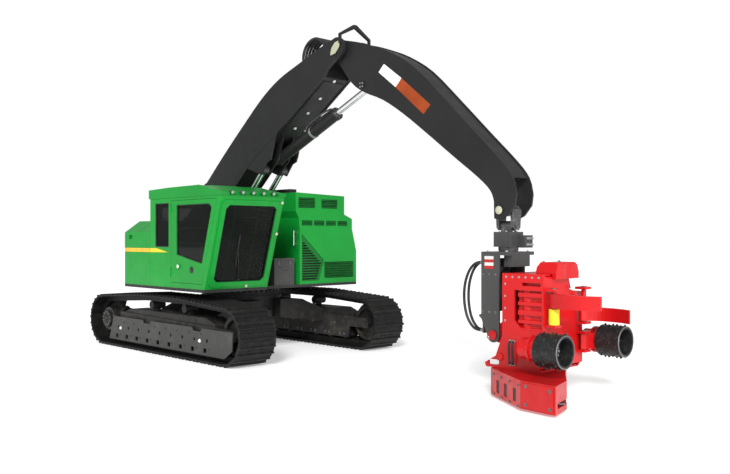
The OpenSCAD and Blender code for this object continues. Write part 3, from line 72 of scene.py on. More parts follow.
TILT_EYE = (6.215, 0.93)
HEAD_SIDE = 0.43
FEED = (6.93, 0.68, 0.676)      # a feed roller's pivot in X, its middle in Y and Z
KNIFE = (6.952, 0.33)
YOKE_HALF = 0.285
ROOF_UNDER = 2.56               # underside of the cab's roof
WARNING_Z = 1.570               # lower edge of the striped plate on the yoke
OFF_FACE = 0.0003               # from a panel to what lies on it


# Camera, floor and light

PHOTO = (730, 474)
FOCAL_PX = 825.8
CAMERA_AT = (12.444 - MID, -8.876, 1.977)
CAMERA_TURN = math.radians(45.99)


def make_camera():
    data = bpy.data.cameras.new("Camera")
    data.sensor_width = 36
    data.lens = data.sensor_width * FOCAL_PX / PHOTO[0]
    data.clip_end = 200
    camera = bpy.data.objects.new("Camera", data)
    camera.location = CAMERA_AT
    camera.rotation_euler = (math.radians(90), 0, CAMERA_TURN)
    bpy.context.collection.objects.link(camera)
    bpy.context.scene.camera = camera


def make_light(name, kind, energy, at, towards, size=None):
    data = bpy.data.lights.new(name, kind)
    data.energy = energy
    if kind == "AREA":
        data.size = size
    if kind == "SUN":
        data.angle = size
    light = bpy.data.objects.new(name, data)
    light.location = at
    light.rotation_mode = "QUATERNION"
    light.rotation_quaternion = (Vector(towards) - Vector(at)).to_track_quat("-Z", "Y")
    bpy.context.collection.objects.link(light)


def make_studio():
    """White surroundings that light the object less than they show, a key light and a front light."""
    world = bpy.data.worlds.new("Studio")
    world.use_nodes = True
    tree = world.node_tree
    sky = tree.nodes["Background"]
    sky.inputs["Color"].default_value = (1, 1, 1, 1)
    kind_of_ray = tree.nodes.new("ShaderNodeLightPath")
    strength = tree.nodes.new("ShaderNodeMapRange")
    strength.inputs["To Min"].default_value = 0.5
    strength.inputs["To Max"].default_value = 1.0
    tree.links.new(kind_of_ray.outputs["Is Camera Ray"], strength.inputs["Value"])
    tree.links.new(strength.outputs["Result"], sky.inputs["Strength"])
    bpy.context.scene.world = world
    bpy.context.scene.view_settings.view_transform = "Standard"
    make_light("Key", "SUN", 2.7, (6, -9, 8), (-1.5, 0, 1), math.radians(16))
    make_light("Front", "AREA", 560, (12.5, -3, 4), (0.5, 0, 2), 8)
    bm = bmesh.new()
    bmesh.ops.create_grid(bm, x_segments=1, y_segments=1, size=120)
    bmesh.ops.translate(bm, vec=(0, 0, -0.004), verts=bm.verts)
    floor = new_object("floor", bm)
    mat, shader = new_material("floor")
    shader.inputs["Base Color"].default_value = (0.96, 0.96, 0.96, 1)
    shader.inputs["Roughness"].default_value = 0.95
    shader.inputs["Specular IOR Level"].default_value = 0.1
    shader.inputs["Emission Color"].default_value = (1, 1, 1, 1)
    shader.inputs["Emission Strength"].default_value = 0.27
    floor.data.materials.append(mat)


# Materials

def new_material(name):
    mat = bpy.data.materials.new(name)
    mat.use_nodes = True
    return mat, mat.node_tree.nodes["Principled BSDF"]


SOCKETS = {"colour": "Base Color", "rough": "Roughness", "metal": "Metallic", "coat": "Coat Weight",
           "coat_rough": "Coat Roughness", "alpha": "Alpha", "specular": "Specular IOR Level",
           "sheen": "Sheen Weight", "clear": "Transmission Weight", "glow": "Emission Strength",
           "glow_colour": "Emission Color"}


class Nodes:
    """Short calls that add nodes to one material's tree."""

    def __init__(self, name):
        self.mat, self.shader = new_material(name)
        self.tree = self.mat.node_tree
        self.place = self.add("ShaderNodeTexCoord").outputs["Object"]

    def add(self, kind, **values):
        made = self.tree.nodes.new(kind)
        for key, value in values.items():
            setattr(made, key, value)
        return made

    def join(self, value, socket):
        if isinstance(value, bpy.types.NodeSocket):
            self.tree.links.new(value, socket)
        else:
            socket.default_value = value

    def noise(self, scale, detail=4.0, rough=0.55, at=None):
        made = self.add("ShaderNodeTexNoise")
        self.join(self.place if at is None else at, made.inputs["Vector"])
        made.inputs["Scale"].default_value = scale
        made.inputs["Detail"].default_value = detail
        made.inputs["Roughness"].default_value = rough
        return made.outputs["Fac"]

    def ramp(self, value, low, high, a=0.0, b=1.0):
        made = self.add("ShaderNodeMapRange")
        made.interpolation_type = "SMOOTHSTEP"
        names = ("Value", "From Min", "From Max", "To Min", "To Max")
        for key, v in zip(names, (value, low, high, a, b)):
            self.join(v, made.inputs[key])
        return made.outputs["Result"]

    def math(self, kind, a, b=0.0):
        made = self.add("ShaderNodeMath", operation=kind)
        self.join(a, made.inputs[0])
        self.join(b, made.inputs[1])
        return made.outputs[0]

    def mix(self, share, a, b):
        made = self.add("ShaderNodeMix", data_type="RGBA")
        self.join(share, made.inputs["Factor"])
        for value, socket in ((a, made.inputs[6]), (b, made.inputs[7])):
            self.join(value if isinstance(value, bpy.types.NodeSocket) else (*value, 1), socket)
        return made.outputs[2]

    def axis(self, name):
        made = self.add("ShaderNodeSeparateXYZ")
        self.join(self.place, made.inputs[0])
        return made.outputs[name]

    def stretched(self, x, y, z):
        made = self.add("ShaderNodeMapping")
        self.join(self.place, made.inputs["Vector"])
        made.inputs["Scale"].default_value = (x, y, z)
        return made.outputs["Vector"]

    def edges(self, radius, low=0.02, high=0.22):
        """How close to a sharp outer edge a point is, from 0 to 1."""
        soft = self.add("ShaderNodeBevel", samples=4)
        soft.inputs["Radius"].default_value = radius
        hard = self.add("ShaderNodeNewGeometry")
        agree = self.add("ShaderNodeVectorMath", operation="DOT_PRODUCT")
        self.join(soft.outputs["Normal"], agree.inputs[0])
        self.join(hard.outputs["Normal"], agree.inputs[1])
        return self.ramp(self.math("SUBTRACT", 1.0, agree.outputs["Value"]), low, high)

    def bump(self, height, strength, distance=0.01):
        made = self.add("ShaderNodeBump")
        self.join(height, made.inputs["Height"])
        made.inputs["Strength"].default_value = strength
        made.inputs["Distance"].default_value = distance
        self.join(made.outputs["Normal"], self.shader.inputs["Normal"])

    def set(self, **sockets):
        for key, value in sockets.items():
            if isinstance(value, tuple) and len(value) == 3:
                value = (*value, 1)
            self.join(value, self.shader.inputs[SOCKETS[key]])
        return self.mat


DUST = (0.16, 0.13, 0.095)
CHROME = (0.78, 0.79, 0.80)


def grey(level):
    return (level, level, level)


def shade(colour, factor):
    return tuple(min(c * factor, 1) for c in colour)


def inside_cab(n):
    """1 at places within the cab's walls, 0 outside them; there the cab's paint is turned near-black as
    painted shade.
    """
    x, y, z = n.axis("X"), n.axis("Y"), n.axis("Z")
    front = n.math("SUBTRACT", x, n.math("MULTIPLY", n.math("SUBTRACT", z, BODY_Z), CAB_LEAN))
    share = n.math("LESS_THAN", front, CAB_FRONT - MID - 0.075)
    for kind, value, limit in (("GREATER_THAN", x, CAB_REAR - MID + 0.035),
                               ("GREATER_THAN", y, CAB_SIDE + 0.047),
                               ("LESS_THAN", y, CAB_IN - 0.035),
                               ("GREATER_THAN", z, BODY_Z + 0.02),
                               ("LESS_THAN", z, ROOF_UNDER)):
        share = n.math("MULTIPLY", share, n.math(kind, value, limit))
    return share


def paint(name, colour, dull, edge_wear_and_highlight, rough=0.42, coat=0.08, specular=0.26, dust_top=1.5, dust=0.2,
          worn=0.5, inside_shade=None):
    """Machine paint: clouds of tone, dust low down, a sprayed grain, and in patches along the edges a
    lighter copy of the paint, partly rubbed wear and partly painted highlight.
    """
    n = Nodes(name)
    cloud = n.ramp(n.noise(0.9, 5.0), 0.32, 0.7)
    base = n.mix(cloud, colour, dull)
    streak = n.ramp(n.noise(1.0, 6.0, 0.6, n.stretched(9.0, 9.0, 0.8)), 0.52, 0.8, 0.0, 0.22)
    base = n.mix(streak, base, dull)
    low = n.ramp(n.axis("Z"), 0.2, dust_top, 1.0, 0.0)
    specks = n.ramp(n.noise(7.0, 8.0, 0.7), 0.42, 0.72)
    share = n.math("MULTIPLY", n.math("MULTIPLY", low, specks), dust)
    base = n.mix(share, base, DUST)
    # Edges turn to the lighter edge colour in broken patches: partly wear, partly painted highlight.
    rubbed = n.math("MULTIPLY", n.edges(0.007), n.ramp(n.noise(11.0, 6.0, 0.7), 0.35, 0.62, 0.15, 1.0))
    base = n.mix(n.math("MULTIPLY", rubbed, worn), base, edge_wear_and_highlight)
    # Near-black within the cab's walls: painted shade inside the cab.
    if inside_shade:
        base = n.mix(inside_cab(n), base, inside_shade)
    n.bump(n.noise(240.0, 2.0), 0.05, 0.002)
    return n.set(colour=base, rough=n.ramp(n.noise(5.0, 6.0), 0.3, 0.75, rough, rough + 0.16),
                 coat=coat, coat_rough=0.12, specular=specular)


def worn_steel(name, dark, bright, rough=0.45, scale=14.0, metal=0.7, soil=0.3, edge=0.6, specular=0.5):
    """Dark steel rubbed bright in patches and along its edges."""
    n = Nodes(name)
    rubbed = n.ramp(n.noise(scale, 8.0, 0.65), 0.48, 0.74)
    fine = n.noise(160.0, 3.0)
    n.bump(n.math("ADD", fine, n.noise(22.0, 6.0)), 0.2, 0.003)
    dirt = n.ramp(n.noise(3.0, 6.0, 0.6), 0.5, 0.85, 0.0, soil)
    base = n.mix(dirt, n.mix(rubbed, dark, bright), DUST)
    base = n.mix(n.math("MULTIPLY", n.edges(0.006), edge), base, shade(bright, 2.2))
    return n.set(colour=base, rough=n.ramp(fine, 0.3, 0.7, rough, rough + 0.22), metal=metal,
                 specular=specular)


def polished(name, colour, rough):
    n = Nodes(name)
    n.bump(n.noise(90.0, 3.0), 0.03, 0.001)
    return n.set(colour=colour, metal=1.0, rough=n.ramp(n.noise(12.0), 0.3, 0.7, rough, rough + 0.12))


def rod_steel(name, eyes):
    """Chrome along the rods, dark steel round their eyes: [x, z, radius] of each eye."""
    n = Nodes(name)
    n.bump(n.noise(90.0, 3.0), 0.03, 0.001)
    eye = 0.0
    for x, z, r in eyes:
        dx = n.math("SUBTRACT", n.axis("X"), x - MID)
        dz = n.math("SUBTRACT", n.axis("Z"), z)
        away = n.math("ADD", n.math("MULTIPLY", dx, dx), n.math("MULTIPLY", dz, dz))
        eye = n.math("MAXIMUM", eye, n.math("LESS_THAN", away, r * r))
    gloss = n.ramp(n.noise(12.0), 0.3, 0.7, 0.08, 0.20)
    return n.set(colour=n.mix(eye, CHROME, grey(0.045)), metal=n.math("SUBTRACT", 1.0, eye),
                 rough=n.math("ADD", gloss, n.math("MULTIPLY", eye, 0.3)))


def rubber(name, colour=(0.014, 0.014, 0.015)):
    n = Nodes(name)
    n.bump(n.noise(320.0, 2.0), 0.15, 0.001)
    tone = n.mix(n.ramp(n.noise(8.0, 5.0), 0.35, 0.75), colour, (0.034, 0.033, 0.031))
    return n.set(colour=tone, rough=n.ramp(n.noise(30.0), 0.3, 0.7, 0.45, 0.62), specular=0.35)


def plastic(name, colour, rough=0.5, specular=0.4):
    n = Nodes(name)
    n.bump(n.noise(420.0, 2.0), 0.12, 0.001)
    tone = n.mix(n.ramp(n.noise(4.0, 5.0), 0.3, 0.8), colour, shade(colour, 1.35))
    return n.set(colour=tone, rough=rough, specular=specular)


def cloth(name, colour):
    """Woven seat cover, its threads crossing at right angles."""
    n = Nodes(name)
    across = n.math("SINE", n.math("MULTIPLY", n.axis("Y"), 2400.0))
    along = n.math("SINE", n.math("MULTIPLY", n.math("ADD", n.axis("X"), n.axis("Z")), 2400.0))
    weave = n.math("MULTIPLY", across, along)
    n.bump(n.math("ADD", weave, n.noise(60.0, 4.0)), 0.3, 0.0008)
    tone = n.mix(n.ramp(n.noise(5.0, 5.0), 0.3, 0.75), colour, shade(colour, 1.6))
    return n.set(colour=tone, rough=0.9, sheen=0.25, specular=0.2)


def window(name):
    """Tinted cab glass, near-black and mostly opaque, so that it partly paints the shade inside the cab;
    its opacity varies in clouds.
    """
    n = Nodes(name)
    shade_opacity = n.ramp(n.noise(3.5, 7.0, 0.65), 0.45, 0.9, 0.62, 0.70)
    # Near-black colour at high opacity: tint, and painted shade of the cab's inside.
    mat = n.set(colour=(0.004, 0.006, 0.0045), rough=0.04, alpha=shade_opacity, specular=0.16)
    mat.surface_render_method = "BLENDED"
    return mat


def lamp_glass(name, colour):
    """Ribbed lamp lens; a faint glow in its own colour paints the light off a bright reflector behind it.
    """
    n = Nodes(name)
    n.bump(n.math("SINE", n.math("MULTIPLY", n.axis("Y"), 900.0)), 0.35, 0.002)
    tone = n.mix(n.ramp(n.noise(40.0), 0.35, 0.7), colour, shade(colour, 0.7))
    # The faint glow is painted light from the reflector behind the lens.
    return n.set(colour=tone, rough=0.1, coat=0.8, glow_colour=colour, glow=0.12)


def stripes(name, one, other, step):
    """Level warning stripes in two paints."""
    n = Nodes(name)
    level = n.math("FRACT", n.math("DIVIDE", n.math("SUBTRACT", n.axis("Z"), WARNING_Z), step))
    tone = n.mix(n.math("GREATER_THAN", level, 0.5), one, other)
    return n.set(colour=tone, rough=n.ramp(n.noise(30.0), 0.3, 0.7, 0.35, 0.5), specular=0.4)


# Lighter green for the paint's edges: partly wear, partly painted highlight.
GREEN_EDGE_WEAR_AND_HIGHLIGHT = (0.05, 0.42, 0.09)

# Each paint's third colour is the lighter colour of its edges: partly wear, partly painted highlight.
LOOKS = {
    "green": paint("green_paint", (0.004, 0.290, 0.033), (0.003, 0.24, 0.026), GREEN_EDGE_WEAR_AND_HIGHLIGHT, rough=0.34),
    # The cab's paint turns near-black inside its walls: painted shade of the cab's inside.
    "cab": paint("cab_paint", (0.004, 0.310, 0.033), (0.003, 0.26, 0.026), GREEN_EDGE_WEAR_AND_HIGHLIGHT, rough=0.34,
                 inside_shade=(0.012, 0.013, 0.013)),
    "dark_green": paint("dark_green_paint", (0.006, 0.150, 0.022), (0.004, 0.115, 0.016),
                        (0.04, 0.26, 0.07), coat=0.05, specular=0.25),
    "black": paint("black_paint", (0.0165, 0.0165, 0.0170), (0.0125, 0.0125, 0.0130), grey(0.10),
                   coat=0.04, dust=0.08, worn=0.35),
    "yoke": paint("yoke_paint", (0.058, 0.058, 0.057), grey(0.042), grey(0.16), coat=0.1, specular=0.35),
    "red": paint("red_paint", (0.56, 0.006, 0.008), (0.40, 0.004, 0.006), (0.66, 0.05, 0.045), rough=0.3,
                 coat=0.10, specular=0.28, dust=0.08, worn=0.4),
    "frame": paint("frame_paint", grey(0.018), grey(0.012), grey(0.08), rough=0.5, coat=0.0,
                   specular=0.3, dust=0.35, dust_top=1.1),
    "deck": paint("deck_paint", (0.030, 0.031, 0.031), (0.020, 0.021, 0.021), grey(0.10), rough=0.5,
                  coat=0.0, specular=0.3),
    "tracks": worn_steel("track_steel", grey(0.008), (0.024, 0.024, 0.0235), metal=0.35, soil=0.10,
                         specular=0.35, edge=0.8),
    "guard": worn_steel("guard_steel", (0.052, 0.052, 0.050), (0.078, 0.078, 0.076), metal=0.25,
                        scale=4.0, soil=0.2, edge=0.4),
    "roller": worn_steel("roller_steel", grey(0.018), (0.055, 0.055, 0.054), metal=0.5, scale=20.0,
                         soil=0.1),
    "steel": worn_steel("bare_steel", grey(0.10), grey(0.26), rough=0.32, soil=0.12),
    "box": worn_steel("toolbox_steel", (0.050, 0.050, 0.049), (0.075, 0.075, 0.074), rough=0.5,
                      scale=2.5, metal=0.15, soil=0.12),
    "lid": worn_steel("lid_steel", (0.11, 0.11, 0.109), (0.15, 0.15, 0.149), rough=0.5, scale=2.5,
                      metal=0.15, soil=0.12),
    "zinc": worn_steel("zinc_plate", (0.30, 0.30, 0.29), (0.46, 0.46, 0.45), rough=0.3, scale=30.0,
                       soil=0.08),
    "rod": rod_steel("rod_chrome", ((*LIFT_EYE, 0.095), (*REACH_EYE, 0.105), (*TILT_EYE, 0.07))),
    "rim": polished("rim_steel", grey(0.20), 0.3),
    "hose": rubber("hose_rubber"),
    "seal": rubber("seal_rubber", (0.008, 0.008, 0.009)),
    "inside": plastic("cab_plastic", (0.014, 0.014, 0.016)),
    "trim": plastic("black_trim", (0.010, 0.010, 0.011), 0.4),
    "white": plastic("white_plate", (0.72, 0.72, 0.70), 0.4),
    "orange": plastic("orange_plate", (0.27, 0.046, 0.010), 0.5, 0.2),
    "amber": plastic("amber_stripe", (0.74, 0.42, 0.030), 0.4),
    "yellow": plastic("yellow_stripe", (0.74, 0.58, 0.025), 0.4, 0.3),
    "cream": plastic("cream_cap", (0.42, 0.42, 0.30), 0.45),
    "warning": stripes("warning_stripes", (0.42, 0.015, 0.015), (0.62, 0.62, 0.60), 0.0815),
    "cover": cloth("seat_cloth", (0.020, 0.020, 0.023)),
    "lens": lamp_glass("lamp_lens", (0.30, 0.33, 0.30)),
    "red_lens": lamp_glass("tail_lens", (0.45, 0.01, 0.01)),
    "glass": window("cab_glass"),
}

NODE_LOOK = {
    "tracks": ("track_right", "track_left"),
    "guard": ("roller_guards",),
    "frame": ("car_body", "swing_ring", "track_frame_right", "track_frame_left", "track_rollers",
              "end_wheels"),
    "deck": ("deck",),
    "green": ("side_box", "cab_roof", "windscreen_guard", "hood_shell", "hood_door"),
    "cab": ("cab_shell", "cab_door"),
    "dark_green": ("counterweight", "hood_grilles"),
    "black": ("boom", "stick", "hose_arch", "lift_barrels", "reach_barrel", "tilt_barrel", "exhaust_cap"),
    "yoke": ("yoke", "rotator"),
    "roller": ("feed_roller_right", "feed_roller_left"),
    "red": ("head_frame", "saw_box", "top_knife", "feed_arm_right", "feed_arm_left", "knife_right",
            "knife_left"),
    "steel": ("link", "knuckle", "saw_bar", "engine", "cab_lamps"),
    "box": ("toolbox",),
    "rod": ("lift_rods", "reach_rod", "tilt_rod", "handrails"),
    "hose": ("boom_hoses", "hose_outer", "hose_inner"),
    "inside": ("seat", "console"),
    "glass": ("cab_glass", "door_glass"),
}


def finish_nodes():
    for look, nodes in NODE_LOOK.items():
        for name in nodes:
            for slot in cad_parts[name].material_slots:
                slot.material = LOOKS[look]


# Meshes

SHARP = math.radians(32)


def new_object(name, bm):
    mesh = bpy.data.meshes.new(name)
    bm.to_mesh(mesh)
    bm.free()
    obj = bpy.data.objects.new(name, mesh)
    bpy.context.collection.objects.link(obj)
    return obj


def new_piece(name, bm, body, look):
    """A finished piece on its body: faces outwards, soft shading broken at sharp edges."""
    bmesh.ops.remove_doubles(bm, verts=bm.verts, dist=1e-6)
    bmesh.ops.recalc_face_normals(bm, faces=bm.faces)
    bmesh.ops.translate(bm, vec=(-MID, 0, 0), verts=bm.verts)
    for edge in bm.edges:
        edge.smooth = len(edge.link_faces) == 2 and edge.calc_face_angle(0) < SHARP
    for face in bm.faces:
        face.smooth = True
    piece = new_object(name, bm)
    piece.data.materials.append(LOOKS[look])
    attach(piece, body)
    return piece


def square_to(way):
    """Two directions square to a given one, then that one."""
    w = Vector(way).normalized()
    u = w.orthogonal().normalized()
    return u, w.cross(u), w


def circle(bm, centre, radius, u, v, steps):
    """A loop of points round a centre."""
    return [bm.verts.new(centre + radius * (math.cos(a) * u + math.sin(a) * v))
            for a in (2 * math.pi * i / steps for i in range(steps))]


def skin(bm, loops, closed=False):
    """Faces from each loop of points to the next: closed on itself, or with a face at both ends."""
    for a, b in zip(loops, loops[1:] + loops[:1] if closed else loops[1:]):
        for i in range(len(a)):
            j = (i + 1) % len(a)
            bm.faces.new((a[i], a[j], b[j], b[i]))
    if not closed:
        bm.faces.new(loops[0][::-1])
        bm.faces.new(loops[-1])


def turned(bm, profile, foot, way, steps=24, closed=False):
    """A turned shape: [radius, height] along its axis. A closed profile makes an open ring."""
    u, v, w = square_to(way)
    skin(bm, [circle(bm, Vector(foot) + w * h, r, u, v, steps) for r, h in profile], closed)


def plate(bm, outline, rise, ease=0.0):
    """A flat plate: its outline in space, pushed along rise, with its edges eased."""
    low = [bm.verts.new(p) for p in outline]
    high = [bm.verts.new(Vector(p) + Vector(rise)) for p in outline]
    faces = [bm.faces.new(low[::-1]), bm.faces.new(high)]
    for i in range(len(low)):
        j = (i + 1) % len(low)
        faces.append(bm.faces.new((low[i], low[j], high[j], high[i])))
    if ease:
        edges = list(dict.fromkeys(e for f in faces for e in f.edges))
        bmesh.ops.bevel(bm, geom=edges, offset=ease, segments=2, profile=0.5, affect="EDGES")


def block(bm, low, high, ease=0.0):
    (x0, y0, z0), (x1, y1, z1) = low, high
    plate(bm, [(x0, y0, z0), (x1, y0, z0), (x1, y1, z0), (x0, y1, z0)], (0, 0, z1 - z0), ease)


def turned_piece(name, body, look, profile, spots, steps=24):
    """One piece of turned shapes, all alike, at [place, direction]."""
    bm = bmesh.new()
    for foot, way in spots:
        turned(bm, profile, foot, way, steps)
    return new_piece(name, bm, body, look)


def plate_piece(name, body, look, outline, rise, ease=0.0):
    """One piece that is a single plate."""
    bm = bmesh.new()
    plate(bm, outline, rise, ease)
    return new_piece(name, bm, body, look)


def smooth_path(points, steps=4):
    """More points on one smooth curve through the given ones."""
    p = [Vector(q) for q in points]
    ends = [2 * p[0] - p[1]] + p + [2 * p[-1] - p[-2]]
    path = []
    for a, b, c, d in zip(ends, ends[1:], ends[2:], ends[3:]):
        for i in range(steps):
            t = i / steps
            path.append(0.5 * (2 * b + (c - a) * t + (2 * a - 5 * b + 4 * c - d) * t * t
                               + (3 * b - a - 3 * c + d) * t ** 3))
    return path + [p[-1]]


def tube(bm, path, radius, sides=12, closed=False):
    """A round tube along a path, its rings turned as little as they can be."""
    p = [Vector(q) for q in path]
    n = len(p)
    side = None
    loops = []
    for i in range(n):
        before, after = (p[i - 1], p[(i + 1) % n]) if closed else (p[max(i - 1, 0)], p[min(i + 1, n - 1)])
        w = (after - before).normalized()
        side = w.orthogonal() if side is None else side - w * side.dot(w)
        side.normalize()
        loops.append(circle(bm, p[i], radius, side, w.cross(side), sides))
    skin(bm, loops, closed)


def rounded(corners, radius, steps=4):
    """A closed outline in space with its corners rounded."""
    p = [Vector(c) for c in corners]
    out = []
    for i, c in enumerate(p):
        a = (p[i - 1] - c).normalized() * radius
        b = (p[(i + 1) % len(p)] - c).normalized() * radius
        for k in range(steps + 1):
            t = k / steps
            out.append(c + a * (1 - t) ** 2 + b * t ** 2)
    return out


# Finding a solid's surface

SURFACES = {}


def touch(node, start, way):
    """Where a line from start first meets a solid, and which way its face looks there."""
    if node not in SURFACES:
        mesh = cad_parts[node].data
        points = [v.co for v in mesh.vertices]
        SURFACES[node] = BVHTree.FromPolygons(points, [tuple(f.vertices) for f in mesh.polygons])
    shift = Vector((MID, 0, 0))
    point, normal, _, _ = SURFACES[node].ray_cast(Vector(start) - shift, Vector(way).normalized())
    if point is None:
        raise ValueError(f"{node}: nothing from {start} along {way}")
    return point + shift, normal if normal.dot(Vector(way)) < 0 else -normal


def ring(centre, way, radius, count, turn=0.0):
    """Places round a circle, all facing its axis."""
    u, v, w = square_to(way)
    return [(Vector(centre) + radius * (math.cos(a) * u + math.sin(a) * v), w)
            for a in (turn + 2 * math.pi * i / count for i in range(count))]


# Geometry Nodes

class Tree:
    """A Geometry Nodes tree under construction, with named inputs."""

    def __init__(self, name, **inputs):
        self.tree = bpy.data.node_groups.new(name, "GeometryNodeTree")
        face = self.tree.interface
        face.new_socket("Geometry", in_out="INPUT", socket_type="NodeSocketGeometry")
        for label, kind in {**inputs, "Material": "NodeSocketMaterial"}.items():
            face.new_socket(label, in_out="INPUT", socket_type=kind)
        face.new_socket("Geometry", in_out="OUTPUT", socket_type="NodeSocketGeometry")
        self.given = self.tree.nodes.new("NodeGroupInput").outputs

    def add(self, kind, sockets=None, **values):
        made = self.tree.nodes.new(kind)
        for key, value in values.items():
            setattr(made, key, value)
        for key, value in (sockets or {}).items():
            if isinstance(value, bpy.types.NodeSocket):
                self.tree.links.new(value, made.inputs[key])
            else:
                made.inputs[key].default_value = value
        return made

    def times(self, value, factor):
        return self.add("ShaderNodeMath", {0: value, 1: factor}, operation="MULTIPLY").outputs[0]

    def raised(self, mesh, height):
        """A mesh moved up by a height."""
        up = self.add("ShaderNodeCombineXYZ", {"Z": height}).outputs[0]
        return self.add("GeometryNodeTransform", {"Geometry": mesh, "Translation": up}).outputs[0]

    def set_out(self, mesh, rotation):
        """The mesh at each of the points that the tree is given."""
        sockets = {"Points": self.given["Geometry"], "Instance": mesh, "Rotation": rotation}
        return self.add("GeometryNodeInstanceOnPoints", sockets).outputs[0]

    def close(self, geometry):
        """Make instances real, give them their material and end the tree."""
        real = self.add("GeometryNodeRealizeInstances", {"Geometry": geometry}).outputs[0]
        done = self.add("GeometryNodeSetMaterial", {"Geometry": real, "Material": self.given["Material"]})
        end = self.tree.nodes.new("NodeGroupOutput")
        self.tree.links.new(done.outputs[0], end.inputs[0])
        return self.tree


def facing_rotation(t):
    """The turn that stands an instance's Z along its point's stored direction."""
    facing = t.add("GeometryNodeInputNamedAttribute", {"Name": "facing"}, data_type="FLOAT_VECTOR")
    turn = t.add("FunctionNodeAlignRotationToVector", {"Vector": facing.outputs["Attribute"]}, axis="Z")
    return turn.outputs[0]


def fastener_tree():
    """A hexagonal head on a round washer at each point."""
    t = Tree("fasteners", Radius="NodeSocketFloat", Height="NodeSocketFloat", Washer="NodeSocketFloat")
    radius, height = t.given["Radius"], t.given["Height"]
    wide, thin = t.times(radius, t.given["Washer"]), t.times(height, 0.3)
    both = t.add("GeometryNodeJoinGeometry")
    for corners, r, depth, middle in ((6, radius, height, 0.7), (12, wide, thin, 0.15)):
        part = t.add("GeometryNodeMeshCylinder", {"Vertices": corners, "Radius": r, "Depth": depth})
        t.tree.links.new(t.raised(part.outputs["Mesh"], t.times(height, middle)), both.inputs[0])
    return t.close(t.set_out(both.outputs[0], facing_rotation(t)))


def rod_tree():
    """A round rod along each line."""
    t = Tree("rods", Radius="NodeSocketFloat", Sides="NodeSocketInt")
    line = t.add("GeometryNodeMeshToCurve", {"Mesh": t.given["Geometry"]}).outputs[0]
    section = t.add("GeometryNodeCurvePrimitiveCircle",
                    {"Resolution": t.given["Sides"], "Radius": t.given["Radius"]}).outputs[0]
    return t.close(t.add("GeometryNodeCurveToMesh",
                         {"Curve": line, "Profile Curve": section, "Fill Caps": True}).outputs[0])


def slat_tree():
    """A tilted slat at each point."""
    t = Tree("slats", Size="NodeSocketVector", Tilt="NodeSocketRotation")
    slat = t.add("GeometryNodeMeshCube", {"Size": t.given["Size"]})
    return t.close(t.set_out(slat.outputs["Mesh"], t.given["Tilt"]))


TREES = {"fasteners": fastener_tree(), "rods": rod_tree(), "slats": slat_tree()}


def grown(name, bm, tree, body, look, **inputs):
    """Run a tree over points or lines, and keep the result as a plain mesh on its body."""
    inputs["Material"] = LOOKS[look]
    bmesh.ops.translate(bm, vec=(-MID, 0, 0), verts=bm.verts)
    seed = new_object(name + "_points", bm)
    step = seed.modifiers.new("grow", "NODES")
    step.node_group = TREES[tree]
    for item in TREES[tree].interface.items_tree:
        if item.in_out == "INPUT" and item.name in inputs:
            step[item.identifier] = inputs[item.name]
    shown = bpy.context.evaluated_depsgraph_get()
    mesh = bpy.data.meshes.new_from_object(seed.evaluated_get(shown), depsgraph=shown)
    seed.modifiers.remove(step)
    bpy.data.objects.remove(seed)
    mesh.name = name
    piece = bpy.data.objects.new(name, mesh)
    bpy.context.collection.objects.link(piece)
    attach(piece, body)
    return piece


def fasten(name, body, spots, radius, height, look="zinc", washer=1.5):
    """Bolt heads at [place, direction]."""
    bm = bmesh.new()
    facing = bm.verts.layers.float_vector.new("facing")
    for place, way in spots:
        bm.verts.new(place)[facing] = way
    return grown(name, bm, "fasteners", body, look, Radius=radius, Height=height, Washer=washer)


def rods(name, body, lines, radius, look, sides=6):
    """Straight rods between pairs of points."""
    bm = bmesh.new()
    for a, b in lines:
        bm.edges.new((bm.verts.new(a), bm.verts.new(b)))
    return grown(name, bm, "rods", body, look, Radius=radius, Sides=sides)


# Hoses beside the yoke: round points of the solids' routes

HOSE_ROUTE = [
    (5.8297, -0.330, 1.650), (5.740, -0.330, 1.650), (5.660, -0.332, 1.620), (5.590, -0.335, 1.550),
    (5.540, -0.340, 1.450), (5.510, -0.345, 1.330), (5.500, -0.345, 1.200), (5.510, -0.345, 1.080),
    (5.540, -0.345, 0.960), (5.590, -0.340, 0.860), (5.660, -0.335, 0.790), (5.740, -0.330, 0.768),
    (5.8297, -0.330, 0.768),
]
# How far each hose runs aside of that route, and further in at its middle
HOSES = {"hose_outer": (0.0, 0.0), "hose_inner": (0.055, 0.030)}
HOSE_R = 0.018
FERRULE = [(0.0225, 0.014), (0.0235, 0.020), (0.0235, 0.052), (0.0215, 0.058)]


def make_hoses():
    last = len(HOSE_ROUTE) - 1
    for node, (aside, inwards) in HOSES.items():
        route = [Vector(p) + Vector((inwards * math.sin(math.pi * i / last), aside, 0))
                 for i, p in enumerate(HOSE_ROUTE)]
        path = smooth_path(route, 3)
        bm = bmesh.new()
        tube(bm, path, HOSE_R, 16)
        hose = new_piece(node + "_rubber", bm, "yoke", "hose")
        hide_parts(node)
        bm = bmesh.new()
        for end in (path[0], path[-1]):
            foot = end + Vector((0.0008, 0, 0))
            turned(bm, [(0.030, 0.0), (0.030, 0.016)], foot, (-1, 0, 0), 6)
            turned(bm, FERRULE, foot, (-1, 0, 0), 20)
        new_piece(node + "_ferrules", bm, "yoke", "zinc")


# Undercarriage

WHEEL_R = 0.37
CREST_X = 0.65
CREST_Z = 0.91
RUN_Z = 0.09
SHOES = 48
SHOE_TOP = 0.064
PORT_X = [-1.54 + 0.36 * i for i in range(9)]
ROLLER_X = [-1.4 + 0.4 * i for i in range(8)]
GUARD_OUT = 0.25      # from a track's middle out to the face of its roller guard
HUB_OUT = 0.235       # and to the end of its drive hub
SIDES = ((-1, "right"), (1, "left"))


